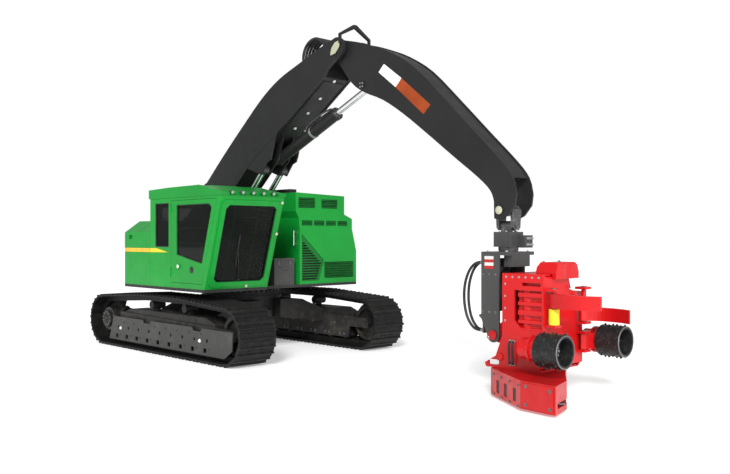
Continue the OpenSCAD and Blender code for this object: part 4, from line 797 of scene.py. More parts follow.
def track_loop():
    """The track's length and a function from a length along it to [x, z, heading]."""
    reach = math.hypot(WHEEL_X - CREST_X, CREST_Z - WHEEL_Z)
    leave = math.atan2(CREST_Z - WHEEL_Z, CREST_X - WHEEL_X) - math.acos(WHEEL_R / reach)
    slope = math.sqrt(reach ** 2 - WHEEL_R ** 2)
    arc = WHEEL_R * (leave + math.pi / 2)
    stops = [2 * WHEEL_X]
    for part in (arc, slope, 2 * CREST_X, slope, arc):
        stops.append(stops[-1] + part)

    def at(s):
        if s < stops[0]:
            return s - WHEEL_X, RUN_Z, 0.0
        if s < stops[1]:
            a = (s - stops[0]) / WHEEL_R - math.pi / 2
            return WHEEL_X + WHEEL_R * math.cos(a), WHEEL_Z + WHEEL_R * math.sin(a), a + math.pi / 2
        if s < stops[2]:
            d = s - stops[1]
            return (WHEEL_X + WHEEL_R * math.cos(leave) - d * math.sin(leave),
                    WHEEL_Z + WHEEL_R * math.sin(leave) + d * math.cos(leave), leave + math.pi / 2)
        if s < stops[3]:
            return CREST_X - (s - stops[2]), CREST_Z, math.pi
        if s < stops[4]:
            d = s - stops[3]
            return -CREST_X - d * math.sin(leave), CREST_Z - d * math.cos(leave), 1.5 * math.pi - leave
        a = math.pi - leave + (s - stops[4]) / WHEEL_R
        return -WHEEL_X + WHEEL_R * math.cos(a), WHEEL_Z + WHEEL_R * math.sin(a), a + math.pi / 2

    return stops[-1], at


def dress_tracks():
    whole, at = track_loop()
    pitch = whole / SHOES
    shoe_bolts = []
    for i in range(SHOES):
        x, z, turn = at((i + 0.5) * pitch)
        out = Vector((math.sin(turn), 0, -math.cos(turn)))
        along = Vector((math.cos(turn), 0, math.sin(turn)))
        for side in (-1, 1):
            for across in (-0.12, -0.05, 0.05, 0.12):
                spot = Vector((x, side * GAUGE / 2 + across, z)) + out * SHOE_TOP - along * 0.08 * pitch
                shoe_bolts.append((spot, out))
    fasten("shoe_bolts", "undercarriage", shoe_bolts, 0.014, 0.012, "tracks")
    guard, frame_bolts, hubs = [], [], []
    for side in (-1, 1):
        face = side * (GAUGE / 2 + GUARD_OUT)
        for x in PORT_X:
            guard.append(((x - 0.11, face, 0.44), (0, side, 0)))
            guard.append(((x + 0.11, face, 0.21), (0, side, 0)))
        for x in ROLLER_X:
            for way in (-1, 1):
                for off in (-0.055, 0.055):
                    frame_bolts.append(((x + off, side * GAUGE / 2 + way * 0.195, 0.233), (0, way, 0)))
        inside = side * GAUGE / 2 - side * 0.195
        for x in (-1.2, -0.6, 0.0, 0.6, 1.2):
            frame_bolts.append(((x, inside, 0.42), (0, -side, 0)))
        hubs += ring((-WHEEL_X, side * (GAUGE / 2 + HUB_OUT), WHEEL_Z), (0, side, 0), 0.122, 12)
        hubs += ring((-WHEEL_X, side * (GAUGE / 2 + 0.1847), WHEEL_Z), (0, side, 0), 0.185, 16)
    fasten("guard_bolts", "undercarriage", guard, 0.015, 0.012, "guard")
    bright = [((x, side * (GAUGE / 2 + GUARD_OUT), 0.33), (0, side, 0))
              for x in (-1.396, 1.20) for side in (-1, 1)]
    fasten("guard_end_bolts", "undercarriage", bright, 0.020, 0.016, "white")
    fasten("track_frame_bolts", "undercarriage", frame_bolts, 0.017, 0.014, "steel")
    fasten("hub_bolts", "undercarriage", hubs, 0.012, 0.012, "steel")
    bm = bmesh.new()
    for side, word in SIDES:
        turned(bm, [(0.075, 0.0), (0.075, 0.008), (0.055, 0.016), (0.02, 0.018)],
               (-WHEEL_X, side * (GAUGE / 2 + HUB_OUT), WHEEL_Z), (0, side, 0), 32)
        spot, way = touch("track_frame_" + word, (WHEEL_X, side * 2.0, WHEEL_Z), (0, -side, 0))
        turned(bm, [(0.085, 0.0), (0.085, 0.006), (0.06, 0.014), (0.02, 0.016)], spot, way, 32)
    new_piece("hub_caps", bm, "undercarriage", "frame")
    swing = ring((0, 0, 1.0103), (0, 0, 1), 0.675, 40)
    fasten("swing_ring_bolts", "undercarriage", swing, 0.014, 0.012, "steel")


# Upper

def lean(u, y, w):
    """A place on the windscreen: u out of it, w up along it."""
    a = math.atan(CAB_LEAN)
    return (CAB_FRONT + u * math.cos(a) + w * math.sin(a), y, BODY_Z - u * math.sin(a) + w * math.cos(a))


def lean_way(u, w):
    return Vector(lean(u, 0, w)) - Vector(lean(0, 0, 0))


SCREEN_OUT = lean_way(1, 0)


def screen_x(z):
    return CAB_FRONT + (z - BODY_Z) * CAB_LEAN


SCREEN_TOP = (2.5 - BODY_Z) * math.hypot(1, CAB_LEAN)
SCREEN_EDGE = 0.095     # from the cab's sides and sill to the windscreen
SCREEN_CUT = 0.06       # off its corners


def screen_outline(m, u):
    """The windscreen's outline grown by m, at u out of it."""
    y0, y1 = CAB_SIDE + SCREEN_EDGE - m, CAB_IN - SCREEN_EDGE + m
    w0, w1, cut = SCREEN_EDGE - m, SCREEN_TOP + m, SCREEN_CUT
    flat = [(y0, w0 + cut), (y0 + cut, w0), (y1 - cut, w0), (y1, w0 + cut),
            (y1, w1 - cut), (y1 - cut, w1), (y0 + cut, w1), (y0, w1 - cut)]
    return [lean(u, y, w) for y, w in flat]


def side_outline(corners, y, m):
    """A side pane's outline in space, drawn in by m."""
    p = [Vector((x, 0, z)) for x, z in corners]
    middle = sum(p, Vector()) / len(p)
    return [Vector((c.x - m * (1 if c.x > middle.x else -1), y, c.z - m * (1 if c.z > middle.z else -1)))
            for c in p]


REAR_PANE = [(-0.055, 1.81), (0.376, 1.81), (0.376, 2.54), (-0.055, 2.54)]
DOOR_PANE = [(0.62, 1.69), (screen_x(1.555) - 0.2, 1.555), (screen_x(2.44) - 0.2, 2.44),
             (screen_x(2.5) - 0.29, 2.5), (0.62, 2.5)]
INNER_PANE = [(0.15, 1.75), (screen_x(1.75) - 0.26, 1.75), (screen_x(2.48) - 0.26, 2.48), (0.15, 2.48)]
BACK_PANE = [(CAB_REAR + 0.014, y, z)
             for y, z in ((-1.524, 1.906), (-0.716, 1.906), (-0.716, 2.494), (-1.524, 2.494))]
SEAL_R = 0.011


def band(bm, outer, inner, rise):
    """A flat frame between two outlines, as thick as rise."""
    loops = [[bm.verts.new(Vector(p) + Vector(r)) for p in line]
             for line, r in ((outer, (0, 0, 0)), (inner, (0, 0, 0)), (inner, rise), (outer, rise))]
    skin(bm, loops, closed=True)


def dress_cab_windows():
    bm = bmesh.new()
    for outline, corner, thick in ((side_outline(REAR_PANE, CAB_SIDE + 0.016, 0.006), 0.03, SEAL_R),
                                   (side_outline(INNER_PANE, CAB_IN - 0.016, 0.006), 0.03, SEAL_R),
                                   (BACK_PANE, 0.04, 0.010),
                                   (screen_outline(-0.006, -0.014), 0.02, SEAL_R)):
        tube(bm, rounded(outline, corner), thick, 8, closed=True)
    new_piece("window_seals", bm, "upper", "seal")
    bm = bmesh.new()
    tube(bm, rounded(side_outline(DOOR_PANE, CAB_SIDE + 0.016, 0.006), 0.03), SEAL_R, 8, closed=True)
    new_piece("door_seal", bm, "cab_door", "seal")
    bm = bmesh.new()
    outer, inner = screen_outline(-0.002, -0.0195), screen_outline(-0.035, -0.0195)
    band(bm, rounded(outer, 0.02), rounded(inner, 0.04), lean_way(0.0008, 0))
    new_piece("windscreen_border", bm, "upper", "trim")
    places = [(y, w) for y in (CAB_SIDE + 0.068, CAB_IN - 0.068) for w in (0.25, 0.55, 0.85, 1.15)]
    places += [(y, w) for y in (-1.45, -1.12, -0.79) for w in (0.066, SCREEN_TOP + 0.028)]
    bolts = [(lean(0.0263, y, w), SCREEN_OUT) for y, w in places]
    fasten("guard_frame_bolts", "upper", bolts, 0.008, 0.008, "green", 1.7)
    # Wiper: motor cover, arm and blade, inside the guard frame
    bm = bmesh.new()
    turned(bm, [(0.022, 0.0), (0.022, 0.010), (0.012, 0.016)], lean(-0.0196, -1.12, 0.14), SCREEN_OUT, 20)
    tube(bm, [lean(-0.008, -1.12, 0.14), lean(-0.006, -1.17, 0.40), lean(-0.007, -1.21, 0.62)], 0.006, 8)
    blade = ((-1.225, 0.36), (-1.205, 0.36), (-1.225, 0.90), (-1.245, 0.90))
    plate(bm, [lean(-0.0193, y, w) for y, w in blade], lean_way(0.012, 0), 0.002)
    new_piece("wiper", bm, "upper", "trim")


def on_roof(x, y):
    return touch("cab_roof", (x, y, 3.2), (0, 0, -1))


def dress_cab():
    # Lamps over the windscreen
    lamp_w = (2.662 - BODY_Z) * math.hypot(1, CAB_LEAN)
    lamps = [(lean(-0.0097, CAB_SIDE + 0.21 + 0.2 * i, lamp_w), SCREEN_OUT) for i in range(5)]
    turned_piece("lamp_rims", "upper", "dark_green",
                 [(0.036, -0.020), (0.038, -0.004), (0.0375, 0.002), (0.030, 0.0025)], lamps)
    turned_piece("lamp_lenses", "upper", "lens",
                 [(0.027, -0.001), (0.026, 0.004), (0.020, 0.007), (0.009, 0.009)], lamps)
    # Hatch and its dark plug on the roof
    hatch = [on_roof(x, y)[0] for x, y in ((0.42, -1.46), (1.12, -1.46), (1.12, -0.84), (0.42, -0.84))]
    plate_piece("roof_hatch", "upper", "green", rounded(hatch, 0.06), (0, 0, 0.016), 0.004)
    turned_piece("roof_plug", "upper", "trim",
                 [(0.040, -0.001), (0.040, 0.012), (0.026, 0.030), (0.012, 0.036)], [on_roof(1.19, -1.52)])
    roof = [on_roof(x, y) for x in (-0.15, 0.3, 0.75, 1.2) for y in (-1.68, -0.56)]
    fasten("roof_bolts", "upper", roof, 0.010, 0.008, "green", 1.8)
    # Side stripes: amber on the box, yellow running out on the cab
    for name, look, corners in (
            ("box_stripe", "amber", ((-1.109, 1.720), (-0.230, 1.720), (-0.230, 1.786), (-1.109, 1.786))),
            ("cab_stripe", "yellow", ((-0.216, 1.720), (0.353, 1.724), (-0.02, 1.790), (-0.216, 1.790)))):
        outline = [(x, CAB_SIDE - OFF_FACE, z) for x, z in corners]
        plate_piece(name, "upper", look, outline, (0, -0.0012, 0))
    # Lock and bare round plate on the door
    turned_piece("door_lock", "cab_door", "white", [(0.030, -0.001), (0.030, 0.003), (0.024, 0.006)],
                 [((0.70, CAB_SIDE - 0.025, 1.50), (0, -1, 0))], 32)
    turned_piece("bare_round_plate", "cab_door", "trim", [(0.056, 0.0), (0.056, 0.0015), (0.052, 0.0025)],
                 [((1.072, CAB_SIDE - OFF_FACE, 1.452), (0, -1, 0))], 48)
    # Knobs on the windscreen frame
    knobs = ((0.93, CAB_IN - 0.052), (SCREEN_TOP + 0.04, CAB_IN - 0.052), (0.05, -0.98))
    turned_piece("frame_knobs", "upper", "cream",
                 [(0.012, 0.0), (0.012, 0.012), (0.024, 0.014), (0.024, 0.026), (0.016, 0.032)],
                 [(lean(0.0262, y, w), SCREEN_OUT) for w, y in knobs], 16)
    # Inside: knobs on the levers, and the screen's face
    knob = [(0.028, 0.0), (0.034, 0.03), (0.030, 0.07), (0.012, 0.09)]
    bm = bmesh.new()
    for y in (SEAT_Y - 0.32, SEAT_Y + 0.31):
        turned(bm, knob, (0.78, y, 1.7703), (0, 0, 1), 16)
    block(bm, (1.178, SEAT_Y - 0.42, 1.612), (1.1797, SEAT_Y - 0.14, 1.818))
    new_piece("lever_knobs", bm, "upper", "trim")


CUSHIONS = {
    # name: outline in X and Z, half width, fill
    "seat_cushion": ([(0.132, 1.426), (0.690, 1.426), (0.690, 1.536), (0.640, 1.552), (0.132, 1.540)],
                     0.232, 0.7),
    "seat_back": ([(0.112, 1.572), (0.228, 1.572), (0.156, 2.128), (0.036, 2.128)], 0.222, 0.7),
    "headrest": ([(0.044, 2.150), (0.140, 2.150), (0.122, 2.318), (0.034, 2.318)], 0.116, 0.8),
}


def puff(piece, most):
    """Blow a cushion up by cloth simulation, no point moving further than most, and keep the shape."""
    rest = [v.co.copy() for v in piece.data.vertices]
    step = piece.modifiers.new("puff", "CLOTH")
    step.settings.use_pressure = True
    step.settings.uniform_pressure_force = 4.0
    step.settings.effector_weights.gravity = 0.0
    step.point_cache.frame_start = 1
    step.point_cache.frame_end = 20
    scene = bpy.context.scene
    for number in range(1, 21):
        scene.frame_set(number)
    shown = bpy.context.evaluated_depsgraph_get()
    mesh = bpy.data.meshes.new_from_object(piece.evaluated_get(shown), depsgraph=shown)
    moved = [v.co.copy() for v in mesh.vertices]
    bpy.data.meshes.remove(mesh)
    piece.modifiers.remove(step)
    for v, a, b in zip(piece.data.vertices, rest, moved):
        way = b - a
        v.co = a + way * min(1.0, most / max(way.length, 1e-9))
    scene.frame_set(1)


def make_cushions():
    """Seat pads with piped seams; the pedestal under them is redrawn beside them."""
    for name, (outline, half, fill) in CUSHIONS.items():
        bm = bmesh.new()
        plate(bm, [(x, SEAT_Y - half, z) for x, z in outline], (0, 2 * half, 0), 0.02)
        pad = new_piece(name, bm, "upper", "cover")
        remesh = pad.modifiers.new("even", "REMESH")
        remesh.mode = "VOXEL"
        remesh.voxel_size = 0.006
        shown = bpy.context.evaluated_depsgraph_get()
        even = bpy.data.meshes.new_from_object(pad.evaluated_get(shown), depsgraph=shown)
        pad.modifiers.remove(remesh)
        pad.data = even
        puff(pad, 0.012)
        for face in pad.data.polygons:
            face.use_smooth = True
        finer = pad.modifiers.new("soft", "SUBSURF")
        finer.levels = finer.render_levels = 1
        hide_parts("seat")
    bm = bmesh.new()
    for (outline, half, _), pipe in zip(CUSHIONS.values(), (0.007, 0.007, 0.006)):
        for side in (-1, 1):
            line = [Vector((x, SEAT_Y + side * half, z)) for x, z in outline]
            tube(bm, rounded(line, 0.025), pipe, 8, closed=True)
    new_piece("seat_piping", bm, "upper", "seal")
    bm = bmesh.new()
    block(bm, (0.18, SEAT_Y - 0.18, 1.2003), (0.57, SEAT_Y + 0.18, 1.405), 0.012)
    block(bm, (0.14, SEAT_Y - 0.23, 1.395), (0.68, SEAT_Y + 0.23, 1.422), 0.008)
    for side in (-0.06, 0.06):
        tube(bm, [(0.10, SEAT_Y + side, 2.09), (0.088, SEAT_Y + side, 2.17)], 0.008, 8)
    pedestal = new_piece("seat_pedestal", bm, "upper", "inside")
    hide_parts("seat")


# Openings in the hood's front, each filled with wire mesh: Y from and to, Z from and to
GRILLES = ((0.30, 0.69, 2.49, 2.67), (0.83, 1.22, 2.49, 2.65), (0.90, 1.62, 1.24, 1.53))


def wire_mesh(y0, y1, z0, z1, x, step):
    """Crossing wires that fill a rectangle of the hood's front."""
    across = max(int(round((y1 - y0) / step)), 2)
    up = max(int(round((z1 - z0) / step)), 2)
    upright = [y0 + (y1 - y0) * i / across for i in range(1, across)]
    level = [z0 + (z1 - z0) * i / up for i in range(1, up)]
    return ([((x, y, z0), (x, y, z1)) for y in upright]
            + [((x + 0.004, y0, z), (x + 0.004, y1, z)) for z in level])


def dress_hood():
    lines = [wire for grille in GRILLES for wire in wire_mesh(*grille, HOOD_FRONT - 0.008, 0.022)]
    rods("hood_wire_mesh", "upper", lines, 0.0022, "dark_green", 5)
    # Slats of the four low vents
    bm = bmesh.new()
    for y in (0.50, 0.78, 1.06, 1.34):
        for i in range(4):
            bm.verts.new((HOOD_FRONT - 0.006, y, 2.192 + 0.022 * i))
    grown("vent_slats", bm, "slats", "upper", "dark_green", Size=(0.026, 0.238, 0.004),
          Tilt=(0.0, math.radians(32), 0.0))
    bolts = [((HOOD_FRONT, y, z), (1, 0, 0)) for y0, y1, z0, z1 in GRILLES
             for y in (y0 - 0.022, (y0 + y1) / 2, y1 + 0.022) for z in (z0 - 0.022, z1 + 0.022)]
    fasten("grille_bolts", "upper", bolts, 0.007, 0.007, "green", 1.8)
    # Black filter box at the top, beside the boom
    bm = bmesh.new()
    block(bm, (0.62, 0.256, 2.751), (1.08, 0.42, 2.822), 0.012)
    new_piece("filter_box", bm, "upper", "trim")
    # Latches of the side door
    bm = bmesh.new()
    for z in (1.32, 1.54):
        block(bm, (0.60, HOOD_SIDE + OFF_FACE, z - 0.03), (0.68, HOOD_SIDE + 0.010, z + 0.03), 0.004)
        turned(bm, [(0.016, 0.008), (0.016, 0.020), (0.010, 0.024)], (0.64, HOOD_SIDE, z), (0, 1, 0), 16)
    new_piece("hood_door_latches", bm, "hood_door", "trim")


def dress_deck():
    edge = [((-1.0 + 0.14 * i, CAB_SIDE - 0.0001, 1.125), (0, -1, 0)) for i in range(18)]
    edge += [((CAB_FRONT - 0.02, -1.66 + 0.13 * i, 1.125), (1, 0, 0)) for i in range(9)]
    edge += [((HOOD_FRONT, 0.30 + 0.16 * i, 1.125), (1, 0, 0)) for i in range(9)]
    fasten("deck_edge_bolts", "upper", edge, 0.011, 0.010, "deck")
    # Covers over the ends of the boom's foot pin
    caps, bolts = [], []
    for side in (-1, 1):
        y = ARM_Y + side * 0.356
        caps.append(((BOOM_FOOT[0], y, BOOM_FOOT[1]), (0, side, 0)))
        bolts += ring((BOOM_FOOT[0], y - side * 0.020, BOOM_FOOT[1]), (0, side, 0), 0.105, 6)
    turned_piece("foot_pin_caps", "upper", "steel",
                 [(0.044, -0.004), (0.044, 0.004), (0.034, 0.010)], caps, 32)
    fasten("foot_pin_bolts", "upper", bolts, 0.013, 0.012, "steel")
    # Toolbox: lid, two catches and a pull
    bm = bmesh.new()
    block(bm, (0.905, -0.215, 1.6003), (1.257, 0.229, 1.606), 0.002)
    for y in (-0.12, 0.13):
        block(bm, (0.94, y - 0.02, 1.606), (1.22, y + 0.02, 1.614), 0.003)
    new_piece("toolbox_lid", bm, "upper", "lid")
    bm = bmesh.new()
    for y in (-0.12, 0.13):
        block(bm, (1.2525, y - 0.018, 1.50), (1.260, y + 0.018, 1.572), 0.002)
    pull = [(1.2525, -0.06, 1.44), (1.285, -0.06, 1.44), (1.285, 0.07, 1.44), (1.2525, 0.07, 1.44)]
    tube(bm, rounded(pull, 0.012, 3)[3:-3], 0.006, 8)
    new_piece("toolbox_catches", bm, "upper", "steel")
    # Tail lamps in the counterweight's pockets
    bm = bmesh.new()
    for angle in (-33, 33):
        a = math.radians(180 + angle)
        out = Vector((math.cos(a), math.sin(a), 0))
        across = Vector((-math.sin(a), math.cos(a), 0))
        foot = out * (TAIL_R - 0.0345)
        corners = [foot + across * s + Vector((0, 0, z))
                   for s, z in ((-0.060, 1.568), (0.060, 1.568), (0.060, 1.632), (-0.060, 1.632))]
        plate(bm, rounded(corners, 0.012, 3), out * 0.024, 0.004)
    new_piece("tail_lamps", bm, "upper", "red_lens")


# Working arm

REACH = (REACH_FOOT, REACH_EYE)
LIFT = (LIFT_FOOT, LIFT_EYE)
REACH_PIPE = [(0.86, 0.086), (0.90, 0.115), (0.97, 0.140), (1.10, 0.150), (1.25, 0.152), (1.40, 0.146),
              (1.50, 0.130), (1.56, 0.112), (1.60, 0.088)]
# Corners of the bare plates on the stick, in X and Z
STICK_PLATES = {
    "white": [(3.976, 4.501), (4.325, 4.247), (4.210, 4.131), (3.864, 4.396)],
    "orange": [(4.325, 4.247), (4.878, 3.804), (4.748, 3.685), (4.210, 4.131)],
}


def line_point(cylinder, along, up, y):
    """A place along a cylinder: distance from its foot, height over its axis, and Y."""
    foot, eye = cylinder
    way = Vector((eye[0] - foot[0], 0, eye[1] - foot[1])).normalized()
    over = Vector((-way.z, 0, way.x))
    return Vector((foot[0], y, foot[1])) + way * along + over * up


def on_axis(cylinder, along, y):
    """A place on a cylinder's axis, and the direction of that axis."""
    centre = line_point(cylinder, along, 0, y)
    return centre, line_point(cylinder, along + 1, 0, y) - centre


def under_boom(x, z, aside):
    """Where the boom's belly plate is under a point, and which way it faces."""
    return touch("boom", (x + 0.3, ARM_Y + aside, z - 0.5), (-0.3, 0, 0.5))


def dress_boom():
    under = [under_boom(x, z, -0.01)
             for x, z in ((2.695, 4.435), (2.333, 4.241), (2.032, 4.031), (1.695, 3.817))]
    fasten("belly_bolts", "boom", under, 0.018, 0.014, "white")
    bm = bmesh.new()
    along, across = Vector((0.72, 0, 0.69)), Vector((-0.69, 0, 0.72))
    for side in (-1, 1):
        middle = Vector((BOOM_TIP[0], ARM_Y + side * (ARM_HALF + 0.0135), BOOM_TIP[1]))
        corners = [middle + along * a + across * b
                   for a, b in ((-0.150, 0.0), (-0.055, -0.062), (0.055, -0.062),
                                (0.150, 0.0), (0.055, 0.062), (-0.055, 0.062))]
        plate(bm, rounded(corners, 0.02, 3), (0, side * 0.012, 0), 0.002)
    new_piece("boom_tip_caps", bm, "boom", "cream")
    bolts = []
    for side in (-1, 1):
        bolts += ring((BOOM_TIP[0], ARM_Y + side * ARM_HALF, BOOM_TIP[1]), (0, side, 0), 0.105, 8)
        bolts.append(((REACH_FOOT[0], ARM_Y + side * 0.1335, REACH_FOOT[1]), (0, side, 0)))
    fasten("boom_pin_bolts", "boom", bolts, 0.012, 0.011, "black")
    # Raised weld runs where the belly plate meets the side plates
    bm = bmesh.new()
    for side in (-1, 1):
        run = [under_boom(x, z, side * 0.285)[0] for x, z in ((1.30, 3.52), (1.55, 3.70), (1.85, 3.89),
                                                              (2.10, 4.06), (2.35, 4.21), (2.60, 4.37))]
        tube(bm, smooth_path(run, 4), 0.006, 6)
    new_piece("belly_welds", bm, "boom", "black")


def dress_stick():
    for look, corners in STICK_PLATES.items():
        outline = [(x, ARM_Y - STICK_HALF - OFF_FACE, z) for x, z in corners]
        plate_piece("stick_plate_" + look, "stick", look, rounded(outline, 0.012, 3), (0, -0.0015, 0))
    caps, bolts = [], []
    for side in (-1, 1):
        y = ARM_Y + side * (STICK_HALF + 0.015)
        caps.append(((STICK_TIP[0], y, STICK_TIP[1]), (0, side, 0)))
        bolts += ring((REACH_EYE[0], y, REACH_EYE[1]), (0, side, 0), 0.036, 4)
    turned_piece("stick_tip_caps", "stick", "cream",
                 [(0.052, -0.001), (0.052, 0.006), (0.042, 0.012)], caps, 32)
    fasten("stick_pin_bolts", "stick", bolts, 0.008, 0.008)


def dress_cylinders():
    # Stick cylinder: bright band, and two pipes that run to its gland
    turned_piece("reach_band", "reach_barrel", "zinc",
                 [(0.0945, -0.022), (0.101, -0.020), (0.101, 0.020), (0.0945, 0.022)],
                 [on_axis(REACH, 1.0, ARM_Y)], 40)
    pipes = (ARM_Y - 0.035, ARM_Y + 0.035)
    bm = bmesh.new()
    for y in pipes:
        tube(bm, smooth_path([line_point(REACH, a, u, y) for a, u in REACH_PIPE], 3), 0.015, 12)
    new_piece("reach_pipes", bm, "reach_barrel", "steel")
    ends = []
    for along in (REACH_PIPE[0][0], REACH_PIPE[-1][0]):
        for y in pipes:
            foot = line_point(REACH, along, 0.080, y)
            ends.append((foot, line_point(REACH, along, 0.180, y) - foot))
    turned_piece("reach_fittings", "reach_barrel", "steel", [(0.026, 0.0), (0.026, 0.022)], ends, 6)
    # Gland bolts
    lift_ys = (ARM_Y - 0.2, ARM_Y + 0.2)
    for name, body, cylinder, along, r, ys in (
            ("reach_gland_bolts", "reach_barrel", REACH, 1.6403, 0.080, (ARM_Y,)),
            ("lift_gland_bolts", "lift_barrels", LIFT, 1.5603, 0.072, lift_ys)):
        spots = [spot for y in ys for spot in ring(*on_axis(cylinder, along, y), r, 8)]
        fasten(name, body, spots, 0.008, 0.008, "steel")
    # Bright rings where the rods leave their glands
    for name, body, cylinder, along, r, ys in (
            ("reach_wiper_ring", "reach_barrel", REACH, 1.6401, 0.052, (ARM_Y,)),
            ("lift_wiper_rings", "lift_barrels", LIFT, 1.5601, 0.048, lift_ys)):
        section = [(r + 0.004, 0.0), (r + 0.012, 0.0), (r + 0.012, 0.004), (r + 0.004, 0.006)]
        bm = bmesh.new()
        for y in ys:
            turned(bm, section, *on_axis(cylinder, along, y), 32, closed=True)
        new_piece(name, bm, body, "rim")


# Head

# Short hoses down the frame's side: X, out of the frame's side, and Z
MOTOR_PIPE = [(6.40, -0.004, 0.700), (6.40, 0.030, 0.690), (6.402, 0.045, 0.650), (6.408, 0.048, 0.560),
              (6.408, 0.045, 0.470), (6.404, 0.030, 0.430), (6.404, -0.004, 0.420)]
ROLLER_START = 0.08      # from a feed roller's pivot to its rear end
ROLLER_LONG = 0.32


def dress_hanger():
    spots = ring((STICK_TIP[0], ARM_Y, 2.0447), (0, 0, 1), 0.118, 8, math.radians(22))
    fasten("rotator_bolts", "knuckle", spots, 0.010, 0.010)
    bm = bmesh.new()
    for y in (ARM_Y + 0.045, ARM_Y + 0.095, ARM_Y + 0.145):
        for z in (1.88, 1.96):
            turned(bm, [(0.018, 0.0), (0.018, 0.020)], (6.30, y, z), (1, 0, 0), 6)
            turned(bm, [(0.011, 0.018), (0.011, 0.034), (0.007, 0.038)], (6.30, y, z), (1, 0, 0), 12)
    new_piece("valve_fittings", bm, "knuckle", "zinc")
    side = ARM_Y - YOKE_HALF
    corners = ((5.885, WARNING_Z), (6.027, WARNING_Z), (6.027, 1.733), (5.885, 1.733))
    outline = rounded([(x, side - OFF_FACE, z) for x, z in corners], 0.004, 3)
    plate_piece("yoke_warning_plate", "yoke", "warning", outline, (0, -0.0015, 0))
    turned_piece("yoke_coupling", "yoke", "zinc",
                 [(0.026, 0.0), (0.026, 0.016), (0.018, 0.018), (0.018, 0.036), (0.012, 0.042)],
                 [((5.965, side, 0.700), (0, -1, 0))], 20)
    spots = [((5.86 + 0.10 * i, ARM_Y + s * YOKE_HALF, z), (0, s, 0))
             for s in (-1, 1) for i in range(3) for z in (1.50, 1.02)]
    fasten("yoke_bolts", "yoke", spots, 0.010, 0.009, "steel")
    top = [((x, y, 1.79), (0, 0, 1)) for x in (5.90, 6.19) for y in (ARM_Y - 0.23, ARM_Y + 0.23)]
    fasten("yoke_top_bolts", "yoke", top, 0.015, 0.014)
    turned_piece("tilt_pin_caps", "head", "red", [(0.062, 0.0), (0.062, 0.010), (0.050, 0.016)],
                 [((6.02, ARM_Y + s * 0.297, 0.73), (0, s, 0)) for s in (-1, 1)], 32)


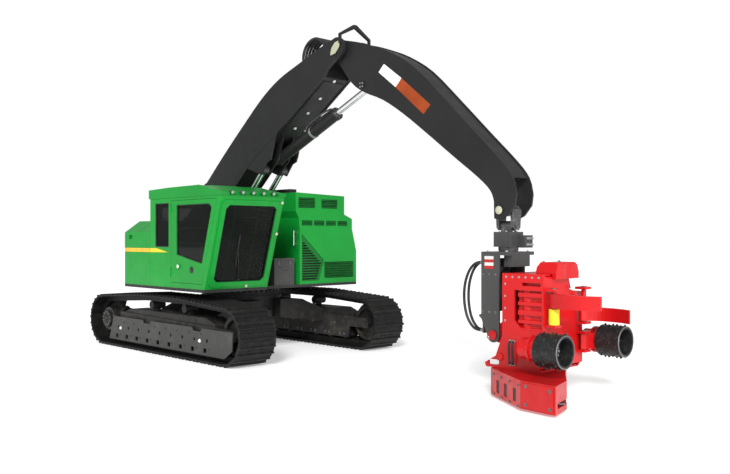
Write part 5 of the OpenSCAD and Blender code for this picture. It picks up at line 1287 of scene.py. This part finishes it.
def dress_head():
    side, far = ARM_Y - HEAD_SIDE, ARM_Y + HEAD_SIDE
    spots = [((6.33 + 0.095 * i, side, 1.488), (0, -1, 0)) for i in range(6)]
    spots += [((6.315, side, z), (0, -1, 0)) for z in (0.95, 1.10, 1.25, 1.40)]
    spots += [((6.33 + 0.095 * i, far, 1.488), (0, 1, 0)) for i in range(4)]
    fasten("frame_top_bolts", "head", spots, 0.009, 0.009)
    front = [touch("head_frame", (7.4, ARM_Y + y, z), (-1, 0, 0))
             for y in (-0.20, 0.06) for z in (0.50, 0.78)]
    fasten("front_plate_bolts", "head", front, 0.012, 0.011, "steel")
    cover = [touch("saw_box", (x, -1.6, z), (0, 1, 0))
             for x, z in ((7.02, 0.295), (7.36, 0.285), (7.02, 0.09), (7.36, 0.09))]
    fasten("saw_cover_bolts", "head", cover, 0.014, 0.012, "steel")
    slant = [touch("saw_box", (6.15 + 0.78 * f - 0.524, -0.62 - 0.48 * f - 0.852, z), (0.524, 0.852, 0))
             for f in (0.10, 0.38, 0.66, 0.93) for z in (0.050, 0.290)]
    fasten("saw_box_bolts", "head", slant, 0.013, 0.012, "steel")
    # Dark sheets in the slots of the saw box's slanted side: painted shade inside the slots
    bm = bmesh.new()
    edge, out = Vector((0.8516, -0.5241, 0)), Vector((-0.5241, -0.8516, 0))
    wide, high = 0.0474, 0.0774
    for share in (0.2, 0.46, 0.76):
        middle = Vector((6.15, -0.62, 0.1575)) + edge * (share * 0.9159 + 0.0475) - out * 0.007
        corners = [middle + edge * a + Vector((0, 0, b))
                   for a, b in ((-wide, -high), (wide, -high), (wide, high), (-wide, high))]
        plate(bm, corners, out * 0.001)
    new_piece("saw_box_slot_shade", bm, "head", "inside")
    top = [touch("top_knife", (6.70, ARM_Y + y, 2.0), (0, 0, -1)) for y in (-0.17, 0.17)]
    fasten("top_knife_bolts", "head", top, 0.014, 0.013, "steel")
    turned_piece("knife_pin_sleeve", "head", "yellow",
                 [(0.058, 0.0), (0.064, 0.006), (0.064, 0.186), (0.058, 0.192)],
                 [((KNIFE[0], ARM_Y - KNIFE[1], 0.9305), (0, 0, 1))], 32)
    heads = []
    for s in (-1, 1):
        heads.append(((KNIFE[0], ARM_Y + s * KNIFE[1], 1.360), (0, 0, 1)))
        heads.append(((FEED[0], ARM_Y + s * 0.36, FEED[2] + 0.130), (0, 0, 1)))
    turned_piece("hinge_pin_heads", "head", "steel", [(0.036, 0.0), (0.036, 0.006), (0.024, 0.010)], heads)
    pair = (0.0, 0.048)
    bm = bmesh.new()
    for dx in pair:
        tube(bm, smooth_path([(x + dx, side - out, z) for x, out, z in MOTOR_PIPE], 4), 0.013, 12)
    new_piece("saw_motor_pipes", bm, "head", "hose")
    unions = [((6.402 + dx, side, z), (0, -1, 0)) for dx in pair for z in (0.700, 0.420)]
    turned_piece("saw_motor_unions", "head", "zinc", [(0.020, 0.0), (0.020, 0.018)], unions, 6)


def dress_grips():
    for s, word in SIDES:
        y = ARM_Y + s * FEED[1]
        arm, roller = "feed_arm_" + word, "feed_roller_" + word
        flange = ring((FEED[0] - 0.190, y, FEED[2]), (-1, 0, 0), 0.082, 8)
        flange += ring((FEED[0] - 0.030, y, FEED[2]), (-1, 0, 0), 0.147, 12)
        fasten("motor_bolts_" + word, arm, flange, 0.009, 0.009)
        bm = bmesh.new()
        cap = [(0.050, 0.0), (0.050, 0.008), (0.034, 0.014)]
        turned(bm, cap, (FEED[0] - 0.190, y, FEED[2]), (-1, 0, 0))
        for z in (0.05, -0.05):
            port = (FEED[0] - 0.10, y - s * 0.114, FEED[2] + z)
            turned(bm, [(0.018, 0.0), (0.018, 0.020)], port, (0, -s, 0), 6)
        new_piece("motor_cap_" + word, bm, arm, "steel")
        rim = [(0.178, -0.010), (0.178, 0.003), (0.189, 0.003), (0.193, -0.0005), (0.189, -0.003)]
        bm = bmesh.new()
        turned(bm, rim, (FEED[0] + ROLLER_START + ROLLER_LONG, y, FEED[2]), (1, 0, 0), 64, closed=True)
        new_piece("roller_rim_" + word, bm, roller, "rim")
        hub = (FEED[0] + ROLLER_START + 0.19, y, FEED[2])
        fasten("roller_hub_bolts_" + word, roller, ring(hub, (1, 0, 0), 0.062, 8), 0.010, 0.010)
        turned_piece("roller_hub_cap_" + word, roller, "steel",
                     [(0.030, 0.0), (0.030, 0.010), (0.018, 0.014)], [(hub, (1, 0, 0))])


make_camera()
make_hoses()
make_studio()
finish_nodes()
dress_tracks()
dress_cab_windows()
dress_cab()
make_cushions()
dress_hood()
dress_deck()
dress_boom()
dress_stick()
dress_cylinders()
dress_hanger()
dress_head()
dress_grips()
